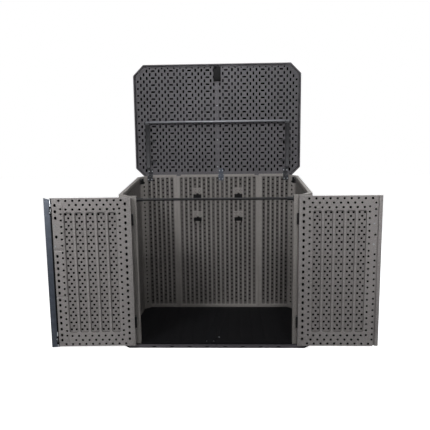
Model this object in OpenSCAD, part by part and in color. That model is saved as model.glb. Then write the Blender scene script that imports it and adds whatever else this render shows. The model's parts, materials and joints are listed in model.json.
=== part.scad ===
// Horizontal resin storage shed: ribbed double-skin walls on a two-piece floor,
// a tack-off patterned lid on three rear hinges and a pair of front doors.
// Shown as it stands for loading: lid upright, both doors folded right back.
// The origin is the middle of the floor's underside; X runs right, Y to the rear.

/* [Body] */
// Width over the side walls
body_w = 1450; // [1300:10:1600]
// Depth from the front posts to the rear wall's outer face
body_d = 925; // [860:5:1000]
// Height of the rear wall's top edge
rear_h = 1281; // [1240:1:1340]
// Thickness of every wall panel
wall_t = 29; // [25:1:33]
// Leg of the cut corner at the front
front_cut = 89; // [75:1:100]
// Leg of the cut corner at the rear
rear_cut = 70; // [60:1:80]
// Width of the door opening between the front posts
opening_w = 1150; // [1080:10:1180]
// Width of the middle rear panel
rear_mid_w = 750; // [620:10:800]

/* [Floor] */
// Height of the floor inside
floor_h = 30; // [26:1:36]
// Width of the floor's rim outside the walls
floor_rim = 12; // [8:1:16]
// Height of the rim and the door stop above the floor
stop_h = 8; // [5:1:12]
// Height of the front ledge below the doors
ledge_h = 28; // [20:1:28]

/* [Doors] */
// Thickness of a door panel
door_t = 30; // [26:1:34]
// Gap under the doors, from the ground
door_low = 31.5; // [30:0.5:36]
// Gap from the doors' top edge to the front posts' top
door_top_gap = 6.3; // [6:0.1:20]
// Channels moulded into each door
door_channels = 5; // [4:1:5]
// Width of one channel
channel_w = 60; // [48:1:64]
// Angle that the left door stands open
left_swing = 177.8; // [170:0.1:180]
// Angle that the right door stands open
right_swing = 179.6; // [170:0.1:180]

/* [Lid] */
// Slope of the closed lid, in degrees
lid_pitch = 7.2; // [6:0.1:8]
// Reach of the lid past the front posts
lid_over = 34.8; // [30:0.1:60]
// Thickness of the lid's deck
lid_t = 25; // [20:1:30]
// Overhang of the lid past each side wall
lid_side = 21; // [18:1:28]
// Leg of the lid's cut corners
lid_cut = 97; // [80:1:110]

/* [Tack-offs] */
// Depth of the moulded tack-offs
tack_depth = 11; // [9:1:14]
// Diameter of the wall tack-offs
wall_tack_d = 14; // [10:1:18]
// Diameter of the door tack-offs
door_tack_d = 15; // [10:1:18]
// Width of the lid tack-offs
lid_tack_d = 17; // [12:1:20]

/* [Steelwork] */
// Diameter of the header tube behind the doors
header_d = 19; // [16:1:22]
// Diameter of the lid's cross tube
cross_d = 22; // [18:1:26]
// Length of a door hinge
hinge_len = 85; // [70:1:100]
// Radius of the door hinge pins
pin_r = 2.5; // [2:0.1:3]
// Diameter of the door bolts
bolt_d = 8; // [6:0.5:9]
// Travel of the door bolts
bolt_travel = 20; // [14:1:22]

/* [Hidden] */

round_fn = 32;
seat_gap = 0.3;
run_gap = 0.06;
resin = "#8b8784";
resin_dark = "#5f5d5e";
floor_black = "#17171a";
black = "#1d1d20";
steel = "#6d7076";
steel_blue = "#4c535f";
bright = "#c4c6c9";

// Places are worked out from the front plane: fy(d) is d behind the front posts
half_w = body_w / 2;
open_half = opening_w / 2;
function fy(d) = d - body_d / 2;
bend = tan(22.5);
hinge_land = 57;
front_leg = min(front_cut, half_w - open_half - hinge_land);

// The closed lid's underside just clears the rear wall and slopes to the front
lid_clear = 1.5;
function lid_under(d) = rear_h + lid_clear + (d - (body_d - wall_t)) * tan(lid_pitch);
side_drop = 14;
function side_top(d) = lid_under(d) - side_drop;
post_drop = 9;
post_top = lid_under(0) - post_drop;

// The lid turns on an axis just behind the rear wall's top
lid_axis_back = 10;
lid_axis_drop = 9.9;
lid_axis_d = body_d + lid_axis_back;
lid_axis_z = lid_under(lid_axis_d) - lid_axis_drop / cos(lid_pitch);
lid_tail = 27.5;
lid_half = half_w + lid_side;
lid_front = (lid_axis_d + lid_over) / cos(lid_pitch);

// Doors hang on axes in front of the posts
door_gap = 3;
door_top = post_top - door_top_gap;
hinge_back = 24;
door_edge = 6.5;
door_hinge_x = open_half + 27.5;
meet_gap = 2;
door_w = door_hinge_x - door_edge - meet_gap;
door_h = door_top - door_low;
rebate_w = 20;
rebate_t = 10;
face_w = door_w - rebate_w;
lip_strip_w = 28;
lip_groove = 12;
right_face_w = door_w - lip_strip_w - lip_groove;
right_shift = -8;

module mirrored(side) {
    mirror([side < 0 ? 0 : 1, 0, 0]) children();
}

// Stands a flat panel up facing the front: thickness grows towards the front
module upright() {
    rotate([90, 0, 0]) children();
}

module slab(w, h, t) {
    linear_extrude(t) square([w, h]);
}

// A round tack-off, as a flat disc for a layer that is extruded later
module disc(x, y, d) {
    translate([x, y]) circle(d = d, $fn = round_fn);
}

// Ribbed wall panel: outer skin, tack-offs in sunk channels, ribs between them
rib_pitch = 41.5;
rib_w = 17;
rib_depth = 7;
row_pitch = 37.3;
row_start = 62;
edge_land = 26;
channel_inset = 34;
plank_groove = 5;
plank_depth = 2.5;

function column_rows(x, base, top) =
    [for (r = [0:floor((top - edge_land - base - row_start) / row_pitch)])
        base + row_start + r * row_pitch];

module ribbed_panel(w, h, t, columns, top_at) {
    difference() {
        union() {
            slab(w, h, t - tack_depth);
            translate([0, 0, t - tack_depth]) linear_extrude(tack_depth - rib_depth) difference() {
                square([w, h]);
                for (i = [0:len(columns) - 1])
                    for (v = column_rows(columns[i], (i % 2) * row_pitch / 2, top_at[i]))
                        disc(columns[i], v, wall_tack_d);
            }
            translate([0, 0, t - rib_depth]) linear_extrude(rib_depth) difference() {
                square([w, h]);
                for (i = [0:len(columns) - 1])
                    translate([columns[i] - (rib_pitch - rib_w) / 2, channel_inset])
                        square([rib_pitch - rib_w, top_at[i] - channel_inset - edge_land]);
            }
        }
        for (x = [rib_pitch * 2 : rib_pitch * 2 : w - rib_pitch])
            translate([x - plank_groove / 2, -1, -1]) cube([plank_groove, h + 2, plank_depth + 1]);
    }
}

// Floor: a two-piece deck with a raised rim, a door stop and a lower front ledge
deck_inset = 1;
floor_front_cut = front_leg - 17;
floor_rear_cut = rear_cut - 10;
stop_d = 27;
plank_pitch = 94;
deck_groove = 3;
deck_groove_depth = 2;
deck_groove_end = 40;
notch_pitch = 134.8;
notch_size = [26, 9, 9];
pocket_from = 45;
pocket_pitch = 165;
pocket_w = 110;
pocket_end = 60;
pocket_depth = 12;

module octagon_half(w, d0, d1, cut_front, cut_rear) {
    polygon([[0, fy(d0)], [w - cut_front, fy(d0)], [w, fy(d0) + cut_front],
        [w, fy(d1) - cut_rear], [w - cut_rear, fy(d1)], [0, fy(d1)]]);
}

module floor_half() {
    color(floor_black) difference() {
        union() {
            linear_extrude(floor_h)
                octagon_half(half_w + floor_rim, -floor_rim, body_d + floor_rim,
                    floor_front_cut, floor_rear_cut);
            translate([0, 0, floor_h]) linear_extrude(stop_h) difference() {
                octagon_half(half_w + floor_rim, -floor_rim, body_d + floor_rim,
                    floor_front_cut, floor_rear_cut);
                octagon_half(half_w + deck_inset, -floor_rim - 1, body_d + deck_inset,
                    front_leg - floor_rim, rear_cut);
            }
            translate([0, fy(1), floor_h]) cube([open_half - 1, stop_d, stop_h]);
        }
        translate([-1, fy(-floor_rim) - 1, ledge_h])
            cube([half_w - front_leg + 30, floor_rim + 2, floor_h + stop_h]);
        for (i = [1:6])
            translate([i * plank_pitch, fy(deck_groove_end), floor_h - deck_groove_depth])
                cube([deck_groove, body_d - 2 * deck_groove_end, deck_groove_depth + 1]);
        for (i = [0:3])
            translate([notch_pitch * (i + 0.5) - notch_size[0] / 2, fy(-floor_rim) - 1, 5]) cube(notch_size);
        for (i = [0:3])
            translate([pocket_from + i * pocket_pitch, fy(pocket_end), -1])
                cube([pocket_w, body_d - 2 * pocket_end, pocket_depth + 1]);
        translate([-1, fy(joiner_end) - seat_gap, -1])
            cube([joiner_w / 2 + 1 + seat_gap, joiner_len + 2 * seat_gap, joiner_t + 1 + seat_gap]);
    }
}

// Plate under the seam that ties the two halves of the floor together
joiner_w = 62;
joiner_t = 3;
joiner_end = 30;
joiner_len = body_d - 2 * joiner_end;
module floor_joiner() {
    color(steel) translate([-joiner_w / 2, fy(joiner_end), 0]) cube([joiner_w, joiner_len, joiner_t]);
}

module floor_side(side) {
    difference() {
        mirrored(side < 0 ? 1 : -1) translate([seat_gap / 2, 0, 0]) floor_half();
        translate([bolt_closed_x, fy(bolt_line), door_low + bolt_rest - bolt_travel - 2])
            cylinder(h = bolt_travel, r = bolt_d / 2 + 0.4, $fn = round_fn);
        for (p = floor_screw_places)
            translate([p[0], fy(p[1]), floor_h - 12]) cylinder(h = 20, r = screw_r + 0.2, $fn = round_fn);
    }
}

// Screws beside the seam, as places across and behind the front plane
floor_screw_places = [[-76, 43], [-21, 43], [18, 132]];
module floor_screws() {
    color(bright) for (p = floor_screw_places)
        translate([p[0], fy(p[1]), floor_h]) screw(6, 10);
}

// A pan-head screw standing on its seat, shank pointing down
screw_r = 2.2;
module screw(head_r, length) {
    translate([0, 0, seat_gap / 2]) cylinder(h = 2.5, r = head_r, $fn = round_fn);
    translate([0, 0, -length]) cylinder(h = length + 1, r = screw_r, $fn = round_fn);
}

// Side walls stand between the front posts and the rear corners
side_from = front_cut + wall_t * bend;
side_to = body_d - rear_cut - wall_t * bend;
side_len = side_to - side_from - 2 * seat_gap;
wall_low = floor_h + seat_gap;
side_cols = floor((side_len - 50) / rib_pitch);
side_x0 = (side_len - (side_cols - 1) * rib_pitch) / 2;
side_columns = [for (i = [0:side_cols - 1]) side_x0 + i * rib_pitch];
side_tops = [for (u = side_columns) side_top(side_from + u - rib_pitch / 2) - wall_low];

module sloped_cut() {
    rotate([90, 0, 90]) translate([0, 0, -body_w]) linear_extrude(body_w * 2)
        polygon([
            [fy(-60), side_top(-60)], [fy(body_d + 60), side_top(body_d + 60)],
            [fy(body_d + 60), rear_h + 200], [fy(-60), rear_h + 200]]);
}

module side_wall(side) {
    color(resin) mirrored(side) difference() {
        translate([-half_w, fy(side_from) + seat_gap, wall_low]) rotate([90, 0, 90])
            ribbed_panel(side_len, side_top(side_to) - wall_low + 5, wall_t, side_columns, side_tops);
        sloped_cut();
        corner_screw_hole(14);
    }
}

// Front posts fold from the door jamb round the cut corner to the side wall
post_in = wall_t * bend;
module front_post(side) {
    color(resin) mirrored(side) difference() {
        union() {
            translate([0, 0, wall_low]) linear_extrude(post_top - wall_low) post_outline();
            translate([0, 0, wall_low]) linear_extrude(side_top(side_from) - wall_low + 5) intersection() {
                post_outline();
                translate([-half_w, fy(front_leg * 0.5)]) square([front_leg, body_d]);
            }
        }
        post_top_cut();
        for (v = [90 : row_pitch * 1.5 : post_top - 60])
            translate([-half_w + front_leg / 2 + wall_t * sin(45), fy(front_leg / 2 + wall_t * sin(45)), v])
                rotate([0, 0, -45]) rotate([90, 0, 0]) translate([0, 0, -3])
                    cylinder(h = tack_depth + 3, d = wall_tack_d, $fn = round_fn);
    }
}

module post_outline() {
    polygon(concat([[-open_half, fy(0)], [-half_w + front_leg, fy(0)], [-half_w, fy(front_leg)],
        [-half_w, fy(side_from)], [-half_w + wall_t, fy(side_from)]],
        front_leg < front_cut ? [[-half_w + wall_t, fy(front_leg + post_in)]] : [],
        [[-half_w + front_leg + post_in, fy(wall_t)], [-open_half, fy(wall_t)]]));
}

module post_top_cut() {
    translate([-half_w - 1, fy(0), 0]) rotate([90, 0, 90]) linear_extrude(front_leg + 40)
        polygon([[front_leg / 2, post_top], [side_from + 2, side_top(side_from + 2)],
            [side_from + 2, rear_h + 50], [front_leg / 2, rear_h + 50]]);
}

// Header tube across the opening, in a socket on each post
header_back = 14.5;
header_z = post_top - 28;
socket_r = header_d / 2 + 4;
socket_len = 46;
module header_tube() {
    color(black) translate([-open_half + 5, fy(header_back), header_z]) rotate([0, 90, 0])
        difference() {
            cylinder(h = opening_w - 10, r = header_d / 2, $fn = round_fn);
            translate([0, 0, -1]) cylinder(h = opening_w, r = header_d / 2 - 1.5, $fn = round_fn);
        }
}

module header_socket(side) {
    color(black) mirrored(side) translate([-open_half + seat_gap, fy(header_back), header_z])
        rotate([0, 90, 0]) difference() {
            union() {
                cylinder(h = socket_len, r = socket_r, $fn = round_fn);
                translate([-22, -socket_r, 0]) cube([44, socket_r * 2, 3]);
            }
            translate([0, 0, 4]) cylinder(h = socket_len, r = header_d / 2 + seat_gap, $fn = round_fn);
        }
}

// Rear corner panels fold from the rear wall round the cut corner
rear_flat_w = half_w - rear_cut - post_in - rear_mid_w / 2;
rear_corner_x = -half_w + rear_cut + post_in;
rear_col_end = 16;
rear_cols = floor((rear_flat_w - rear_col_end - 30) / rib_pitch) + 1;
rear_columns = [for (i = [0:rear_cols - 1]) rear_col_end + i * rib_pitch];
notch_w = 56;
notch_h = 15;
lid_bracket_x = half_w - 107;
fixing_x = 15;
lid_centre_x = 31;
seam_notch_in = 18;
seam_notch_w = 44;
seam_notch_h = 12;

module rear_corner(side) {
    color(resin) mirrored(side) difference() {
        union() {
            translate([rear_corner_x, fy(body_d), wall_low]) upright()
                ribbed_panel(rear_flat_w - seat_gap, rear_h - wall_low, wall_t,
                    rear_columns, [for (i = rear_columns) rear_h - wall_low]);
            translate([0, 0, wall_low]) linear_extrude(rear_h - wall_low) polygon([
                [rear_corner_x, fy(body_d)], [-half_w + rear_cut, fy(body_d)], [-half_w, fy(body_d - rear_cut)],
                [-half_w, fy(side_to)], [-half_w + wall_t, fy(side_to)],
                [rear_corner_x, fy(body_d - wall_t)]]);
        }
        corner_slope_cut();
        for (v = [90 : row_pitch : side_top(side_to) - 60])
            translate([-half_w + rear_cut / 2 + wall_t * sin(45),
                fy(body_d - rear_cut / 2 - wall_t * sin(45)), v])
                rotate([0, 0, 225]) rotate([90, 0, 0]) translate([0, 0, -3])
                    cylinder(h = tack_depth + 3, d = wall_tack_d, $fn = round_fn);
        wall_notch(-lid_bracket_x);
        bracket_bolt_holes(-lid_bracket_x);
    }
}

// Black bracket over the seam of each side wall and rear corner, near the top, with one screw
corner_w = 42;
corner_leg = 30;
corner_t = 3;
corner_z = [side_top(side_to) - 62, side_top(side_to) - 10];
corner_screw = [side_to - 15, side_top(side_to) - 19];
module corner_bracket(side) {
    in = -half_w + wall_t + seat_gap;
    fold = sqrt(2) - 1;
    run = corner_leg / sqrt(2);
    color(black) mirrored(side) difference() {
        translate([0, 0, corner_z[0]]) linear_extrude(corner_z[1] - corner_z[0]) polygon([
            [in, fy(side_to - corner_w)], [in + corner_t, fy(side_to - corner_w)],
            [in + corner_t, fy(side_to - fold * (seat_gap + corner_t))],
            [in + corner_t + run, fy(side_to - fold * (seat_gap + corner_t) + run)],
            [in + run, fy(side_to - fold * seat_gap + run)], [in, fy(side_to - fold * seat_gap)]]);
        corner_screw_hole(10);
    }
}

module corner_screw_hole(depth) {
    translate([-half_w + wall_t - depth, fy(corner_screw[0]), corner_screw[1]]) rotate([0, 90, 0])
        cylinder(h = depth + 10, r = screw_r + 0.2, $fn = round_fn);
}

module corner_screws() {
    color(bright) for (side = [-1, 1]) mirrored(side)
        translate([-half_w + wall_t + seat_gap + corner_t, fy(corner_screw[0]), corner_screw[1]])
            rotate([0, 90, 0]) screw(7, 12);
}

module corner_slope_cut() {
    translate([-half_w - 1, 0, 0]) rotate([90, 0, 90]) linear_extrude(half_w + rear_corner_x + 1)
        polygon([[fy(side_to) - 20, side_top(side_to - 20)], [fy(body_d) + 20, side_top(body_d + 20)],
            [fy(body_d) + 20, rear_h + 50], [fy(side_to) - 20, rear_h + 50]]);
}

module bracket_bolt_holes(x) {
    for (e = [-1, 1]) translate([x + e * fixing_x, fy(body_d - wall_t) - 1, bolt_z]) rotate([-90, 0, 0])
        cylinder(h = 15, r = screw_r + 0.2, $fn = round_fn);
}

module wall_notch(x) {
    translate([x - notch_w / 2, fy(body_d - wall_t) - 1, rear_h - notch_h])
        cube([notch_w, wall_t + 2, notch_h + 1]);
}

// Middle rear panel, with four moulded pads for the hooks
mid_cols = floor(rear_mid_w / 2 / rib_pitch - 0.6);
mid_columns = [for (i = [-mid_cols:mid_cols]) rear_mid_w / 2 + i * rib_pitch];
pad_w = 92;
pad_h = 104;
hook_x = 188;
hook_z = [rear_h - 196, rear_h - 410];

module rear_wall() {
    color(resin) difference() {
        union() {
            translate([-rear_mid_w / 2 + seat_gap, fy(body_d), wall_low]) upright()
                ribbed_panel(rear_mid_w - 2 * seat_gap, rear_h - wall_low, wall_t,
                    mid_columns, [for (i = mid_columns) rear_h - wall_low]);
            for (x = [-hook_x, hook_x]) for (z = hook_z)
                translate([x - pad_w / 2, fy(body_d - wall_t), z - 30]) upright()
                    translate([0, 0, -rib_depth]) slab(pad_w, pad_h, rib_depth);
        }
        wall_notch(lid_centre_x);
        for (e = [-1, 1]) translate([e * (rear_mid_w / 2 - seam_notch_in) - seam_notch_w / 2,
            fy(body_d - wall_t) - 1, rear_h - seam_notch_h])
                cube([seam_notch_w, wall_t + 2, seam_notch_h + 1]);
        bracket_bolt_holes(lid_centre_x);
        for (x = [-hook_x, hook_x]) for (z = hook_z) for (r = [0:3]) for (c = [-2:2])
            translate([x + c * 18 + (r % 2) * 9 - 4.5, fy(body_d - wall_t) - 1, z + 20 + r * 13])
                rotate([-90, 0, 0]) cylinder(h = 7, d = 6, $fn = round_fn);
    }
}

// Double hook: a back plate with two upturned prongs
prong_r = 11;
prong_t = 6;
hook_plate_h = 34;
hook_plate_w = 74;
module hook(side, level) {
    color(black) translate([side * hook_x, fy(body_d - wall_t) - seat_gap, hook_z[level] - 18]) {
        translate([-hook_plate_w / 2, -4, 0]) cube([hook_plate_w, 4, hook_plate_h]);
        for (x = [-26, 26]) translate([x - 5, -3, 0]) rotate([90, 0, 90]) linear_extrude(10) prong();
    }
}

module prong() {
    translate([-prong_r - prong_t, 4]) difference() {
        union() {
            circle(r = prong_r + prong_t, $fn = round_fn);
            translate([-prong_r - prong_t, 0]) square([prong_t, 16]);
            translate([prong_r, 0]) square([prong_t, 20]);
        }
        circle(r = prong_r, $fn = round_fn);
        translate([-prong_r, 0]) square([prong_r * 2, 40]);
    }
}

// Lid parts are drawn upright: X across, Z from the hinge axis to the front edge,
// and the underside of the deck faces the front
module on_lid() {
    translate([0, fy(lid_axis_d) + lid_axis_drop, lid_axis_z]) children();
}

rim_w = 15;
rim_side = 24;
rim_front = 6;
rim_rear = 17;
ridge_in = 20;
ridge_w = 8;
ridge_h = 6;
lid_period = 165;
lid_pitch_x = lid_period / 6;
lid_row = 63;
lid_first_row = 70;
lid_rows = 15;
bevel = 8;

module lid_outline(inset) {
    w = lid_half - inset;
    c = lid_cut - inset * (2 - sqrt(2));
    low = -lid_tail + inset;
    high = lid_front - inset;
    polygon([[0, low], [w - c, low], [w, low + c], [w, high - c], [w - c, high], [0, high]]);
}

function lid_inside(x, s, m) =
    x < lid_half - m && s < lid_front - m && s > -lid_tail + m
    && x + s < lid_half + lid_front - lid_cut - m * sqrt(2)
    && x - s < lid_half + lid_tail - lid_cut - m * sqrt(2);

module lid_tacks() {
    for (k = [-2:24]) for (r = [0:lid_rows - 1]) {
        x = lid_period / 2 + k * lid_pitch_x;
        s = lid_front - lid_first_row - r * lid_row + (k % 2 == 0 ? 0 : lid_row / 2);
        if (lid_inside(x, s, ridge_in + ridge_w + 12))
            if (k % 6 == 0) for (e = [-1, 1]) disc(x + e * 10, s, lid_tack_d - 2);
            else for (e = [-1, 1]) disc(x, s + e * 5, lid_tack_d);
    }
}

module lid_half_panel() {
    skin = lid_t - tack_depth;
    difference() {
        union() {
            hull() {
                linear_extrude(0.5) lid_outline(bevel);
                translate([0, 0, bevel]) linear_extrude(0.5) lid_outline(0);
            }
            translate([0, 0, bevel]) linear_extrude(skin - bevel) lid_outline(0);
            translate([0, 0, skin]) linear_extrude(tack_depth) difference() {
                lid_outline(0);
                lid_tacks();
            }
            translate([0, 0, lid_t]) linear_extrude(ridge_h) difference() {
                lid_outline(ridge_in);
                lid_outline(ridge_in + ridge_w);
            }
            translate([0, 0, lid_t]) linear_extrude(rim_side) difference() {
                lid_outline(0);
                lid_outline(rim_w);
            }
        }
        translate([-1, lid_front - lid_cut - 2, lid_t + rim_front]) cube([lid_half + 2, lid_cut + 10, rim_side]);
        translate([-1, -lid_tail - 10, lid_t + rim_rear]) cube([lid_half + 2, lid_cut + 10, rim_side]);
        for (i = [0:3])
            translate([26 + i * lid_period, 30, -1]) cube([lid_period - 30, lid_front - 90, 4]);
    }
}

module lid_side_panel(side) {
    color(resin_dark) difference() {
        on_lid() mirrored(side < 0 ? 1 : -1) translate([seat_gap / 2, lid_t, 0]) upright() lid_half_panel();
        for (x = [-lid_bracket_x, lid_centre_x, lid_bracket_x]) lid_hinge_pocket(x);
        strike_bore();
        on_lid() translate([strike_x - strike_w / 2 - seat_gap, -ridge_h - 1, lid_front - ridge_in - ridge_w - 1])
            cube([strike_w + 2 * seat_gap, ridge_h + 1, ridge_w + 2]);
        lid_screw_holes(16);
    }
}

// Room in the lid's rear ridge for a hinge knuckle
module lid_hinge_pocket(x) {
    on_lid() translate([x - notch_w / 2, -ridge_h - 1, -lid_tail + rim_w]) cube([notch_w, ridge_h + 1, 30]);
}

strip_w = 30;
strip_t = 2.5;
strip_low = 60;
strip_top = lid_front - 166;
seam_screw_s = [72, 314, 619];
module lid_seam_strip() {
    color(resin_dark) on_lid() difference() {
        translate([-strip_w / 2, -strip_t - seat_gap, strip_low])
            cube([strip_w, strip_t, strip_top - strip_low]);
        for (s = seam_screw_s) translate([0, -5, s]) rotate([-90, 0, 0])
            cylinder(h = 6, r = screw_r + 0.2, $fn = round_fn);
    }
}

// Every screw driven into the lid's underside: the seam strip's and the leaves'
leaf_screw_s = 36;
function lid_screw_at() = concat([for (s = seam_screw_s) [0, s]],
    [for (x = [-lid_bracket_x, lid_centre_x, lid_bracket_x]) for (e = [-fixing_x, fixing_x])
        [x + e, leaf_screw_s]]);

module lid_screw_holes(length) {
    on_lid() for (p = lid_screw_at()) translate([p[0], -3, p[1]]) rotate([-90, 0, 0])
        cylinder(h = length, r = screw_r + 0.2, $fn = round_fn);
}

module lid_screws() {
    color(bright) on_lid() for (p = lid_screw_at())
        translate([p[0], -strip_t - seat_gap, p[1]]) rotate([90, 0, 0]) screw(5, 14);
}

// Strike block at the lid's front: takes the raised door bolt
strike_w = 67;
strike_x = 3;
strike_len = 146;
strike_t = 7;
strike_boss = 20;
module strike_bore() {
    on_lid() translate([bolt_closed_x, 0, strike_s]) rotate([90, 0, 0])
        translate([0, 0, -tack_depth - 4]) cylinder(h = 40, r = bolt_d / 2 + 4, $fn = round_fn);
}

module lid_strike() {
    color(black) difference() {
        on_lid() translate([strike_x, -seat_gap, lid_front - rim_w - 1]) {
            translate([-strike_w / 2, -strike_t, -strike_len + rim_w])
                cube([strike_w, strike_t, strike_len - rim_w]);
            translate([-strike_w / 2 + 7, -strike_boss, -strike_len + rim_w + 6])
                cube([strike_w - 14, strike_boss, 64]);
        }
        strike_bore();
    }
}

// Steel frame that stiffens the lid: a cross tube on two arms
cross_s = 475;
cross_off = 30;
arm_x = half_w - 93;
arm_w = 38;
arm_t = 12;
arm_low = 62;
arm_lug = 3;
clip_s = [120, 300];
module lid_cross_tube() {
    color(steel) on_lid() translate([-arm_x - arm_w / 2 - 3, -cross_off, cross_s])
        rotate([0, 90, 0]) difference() {
        cylinder(h = 2 * arm_x + arm_w + 6, r = cross_d / 2, $fn = round_fn);
        translate([0, 0, -1]) cylinder(h = 2 * arm_x + arm_w + 8, r = cross_d / 2 - 1.5, $fn = round_fn);
    }
}

module lid_arm(side) {
    arm_end = cross_s - cross_d / 2 - seat_gap;
    color(steel) on_lid() mirrored(side) difference() {
        union() {
            translate([-arm_x - arm_w / 2, -cross_off - arm_t / 2, arm_low])
                cube([arm_w, arm_t, arm_end - arm_low]);
            for (x = [-arm_x - arm_w / 2, -arm_x + arm_w / 2 - arm_lug]) hull() {
                translate([x, -cross_off - arm_t / 2, arm_end - 30]) cube([arm_lug, arm_t, 1]);
                translate([x, -cross_off, cross_s]) rotate([0, 90, 0])
                    cylinder(h = arm_lug, r = cross_d / 2 + 5, $fn = round_fn);
            }
        }
        translate([-arm_x - arm_w / 2 + arm_lug, -cross_off - arm_t / 2 - 1, arm_low + 12])
            cube([arm_w - 2 * arm_lug, arm_t - 2, arm_end - 30 - arm_low]);
        translate([-arm_x - arm_w, -cross_off, cross_s]) rotate([0, 90, 0])
            cylinder(h = arm_w * 2, r = cross_d / 2 + seat_gap, $fn = round_fn);
    }
}

// Clips that stand the arms off the lid's underside
module lid_arm_clips() {
    color(steel) on_lid() for (side = [-1, 1]) for (s = clip_s) mirrored(side)
        translate([-arm_x - arm_w / 2 - 6, -cross_off + arm_t / 2 + seat_gap, s]) {
            cube([arm_w + 50, 3, 14]);
            translate([arm_w + 47, 0, 0]) cube([3, cross_off - arm_t / 2 - 2 * seat_gap, 14]);
            cube([3, cross_off - arm_t / 2 - 2 * seat_gap, 14]);
        }
}

// Lid hinges: a bracket over the wall's notch, a leaf on the lid, one pin each
barrel_r = 7;
lid_pin_r = 4;
knuckle_w = 18;
leaf_t = 2.5;
leaf_len = 44;
bracket_drop = 55;
bolt_z = rear_h - bracket_drop + 14;
module knuckle(x, w, r, bore) {
    translate([x, fy(lid_axis_d), lid_axis_z]) rotate([0, 90, 0]) difference() {
        cylinder(h = w, r = r, $fn = round_fn);
        translate([0, 0, -1]) cylinder(h = w + 2, r = bore, $fn = round_fn);
    }
}

module lid_leaf(x) {
    color(steel_blue) difference() {
        union() {
            knuckle(x - knuckle_w / 2, knuckle_w, barrel_r, lid_pin_r + run_gap);
            translate([x - knuckle_w / 2, fy(lid_axis_d) + lid_axis_drop - leaf_t - seat_gap, lid_axis_z])
                cube([knuckle_w, leaf_t, 14]);
            translate([x - notch_w / 2 + 8, fy(lid_axis_d) + lid_axis_drop - leaf_t - seat_gap,
                lid_axis_z + 11])
                cube([notch_w - 16, leaf_t, leaf_len]);
            translate([x - knuckle_w / 2, fy(lid_axis_d), lid_axis_z + lid_pin_r + 1])
                cube([knuckle_w, lid_axis_drop - seat_gap, 2]);
        }
        for (e = [-1, 1]) translate([x + e * fixing_x, fy(lid_axis_d), lid_axis_z + leaf_screw_s])
            rotate([-90, 0, 0]) cylinder(h = 30, r = 2.6, $fn = round_fn);
    }
}

module lid_bracket(x) {
    arm = knuckle_w / 2 + 0.5;
    y_in = fy(body_d - wall_t) - seat_gap;
    color(steel_blue) {
        for (e = [-1, 1]) translate([e < 0 ? x - arm - 12 : x + arm, 0, 0]) {
            translate([0, fy(lid_axis_d), lid_axis_z]) rotate([0, 90, 0]) difference() {
                cylinder(h = 12, r = barrel_r, $fn = round_fn);
                translate([0, 0, -1]) cylinder(h = 14, r = lid_pin_r + run_gap, $fn = round_fn);
            }
            translate([0, y_in - 3, rear_h - notch_h + seat_gap])
                cube([12, fy(lid_axis_d) - y_in, 7]);
        }
        translate([x - notch_w / 2 + 4, y_in - 3, rear_h - notch_h + seat_gap])
            cube([notch_w - 8, wall_t - 4, 3]);
        difference() {
            translate([x - notch_w / 2 + 4, y_in - 3, rear_h - bracket_drop])
                cube([notch_w - 8, 3, bracket_drop - notch_h + 3]);
            for (e = [-1, 1]) translate([x + e * fixing_x, y_in - 4, bolt_z]) rotate([-90, 0, 0])
                cylinder(h = 6, r = 2.6, $fn = round_fn);
        }
    }
}

module lid_hinge_pins() {
    color(bright) for (x = [-lid_bracket_x, lid_centre_x, lid_bracket_x])
        translate([x - knuckle_w / 2 - 16, fy(lid_axis_d), lid_axis_z]) rotate([0, 90, 0]) {
            cylinder(h = knuckle_w + 32, r = lid_pin_r, $fn = round_fn);
            cylinder(h = 3, r = lid_pin_r + 1.5, $fn = round_fn);
        }
}

module bracket_bolts() {
    color(bright) for (x = [-lid_bracket_x, lid_centre_x, lid_bracket_x]) for (e = [-1, 1])
        translate([x + e * fixing_x, fy(body_d - wall_t) - seat_gap - 3, bolt_z]) rotate([90, 0, 0]) {
            translate([0, 0, seat_gap / 2]) cylinder(h = 3, r = 5, $fn = 6);
            translate([0, 0, -12]) cylinder(h = 13, r = screw_r, $fn = round_fn);
        }
}

// Door parts are drawn closed and turned back about the hinge axis.
// In a panel's own plane: X from the hinge edge, Y up, thickness away from the inside
module on_door(side) {
    swing = side < 0 ? left_swing : right_swing;
    mirrored(side) translate([-door_hinge_x, fy(-hinge_back), 0]) rotate([0, 0, -swing])
        children();
}

module on_panel(side) {
    on_door(side) translate([door_edge, hinge_back - door_gap, door_low]) upright() children();
}

hinge_margin = 109;
free_margin = 85.8;
channel_pitch = (face_w - hinge_margin - free_margin - channel_w) / (door_channels - 1);
channel_first = hinge_margin + channel_w / 2;
channel_low = 116;
channel_top = 109;
channel_depth = 6;
channel_row = 53.5;
channel_end = 17;
pair_x = 17;
border_pitch = 50;
side_pitch = 45;

// Rows of tack-offs along the top and bottom, as [first, distance from the edge, whether it shifts]
margin_rows = [[71, 19, 0], [96, 50, 0], [123, 83, 1]];
margin_end = 4;
hinge_columns = [42, 84];
latch_columns = [44, 84];
column_low = 42;
inner_first = 79;
inner_low = 116;
latch_tops = [98, 145, 283, 397];
latch_low = 461;

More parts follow.
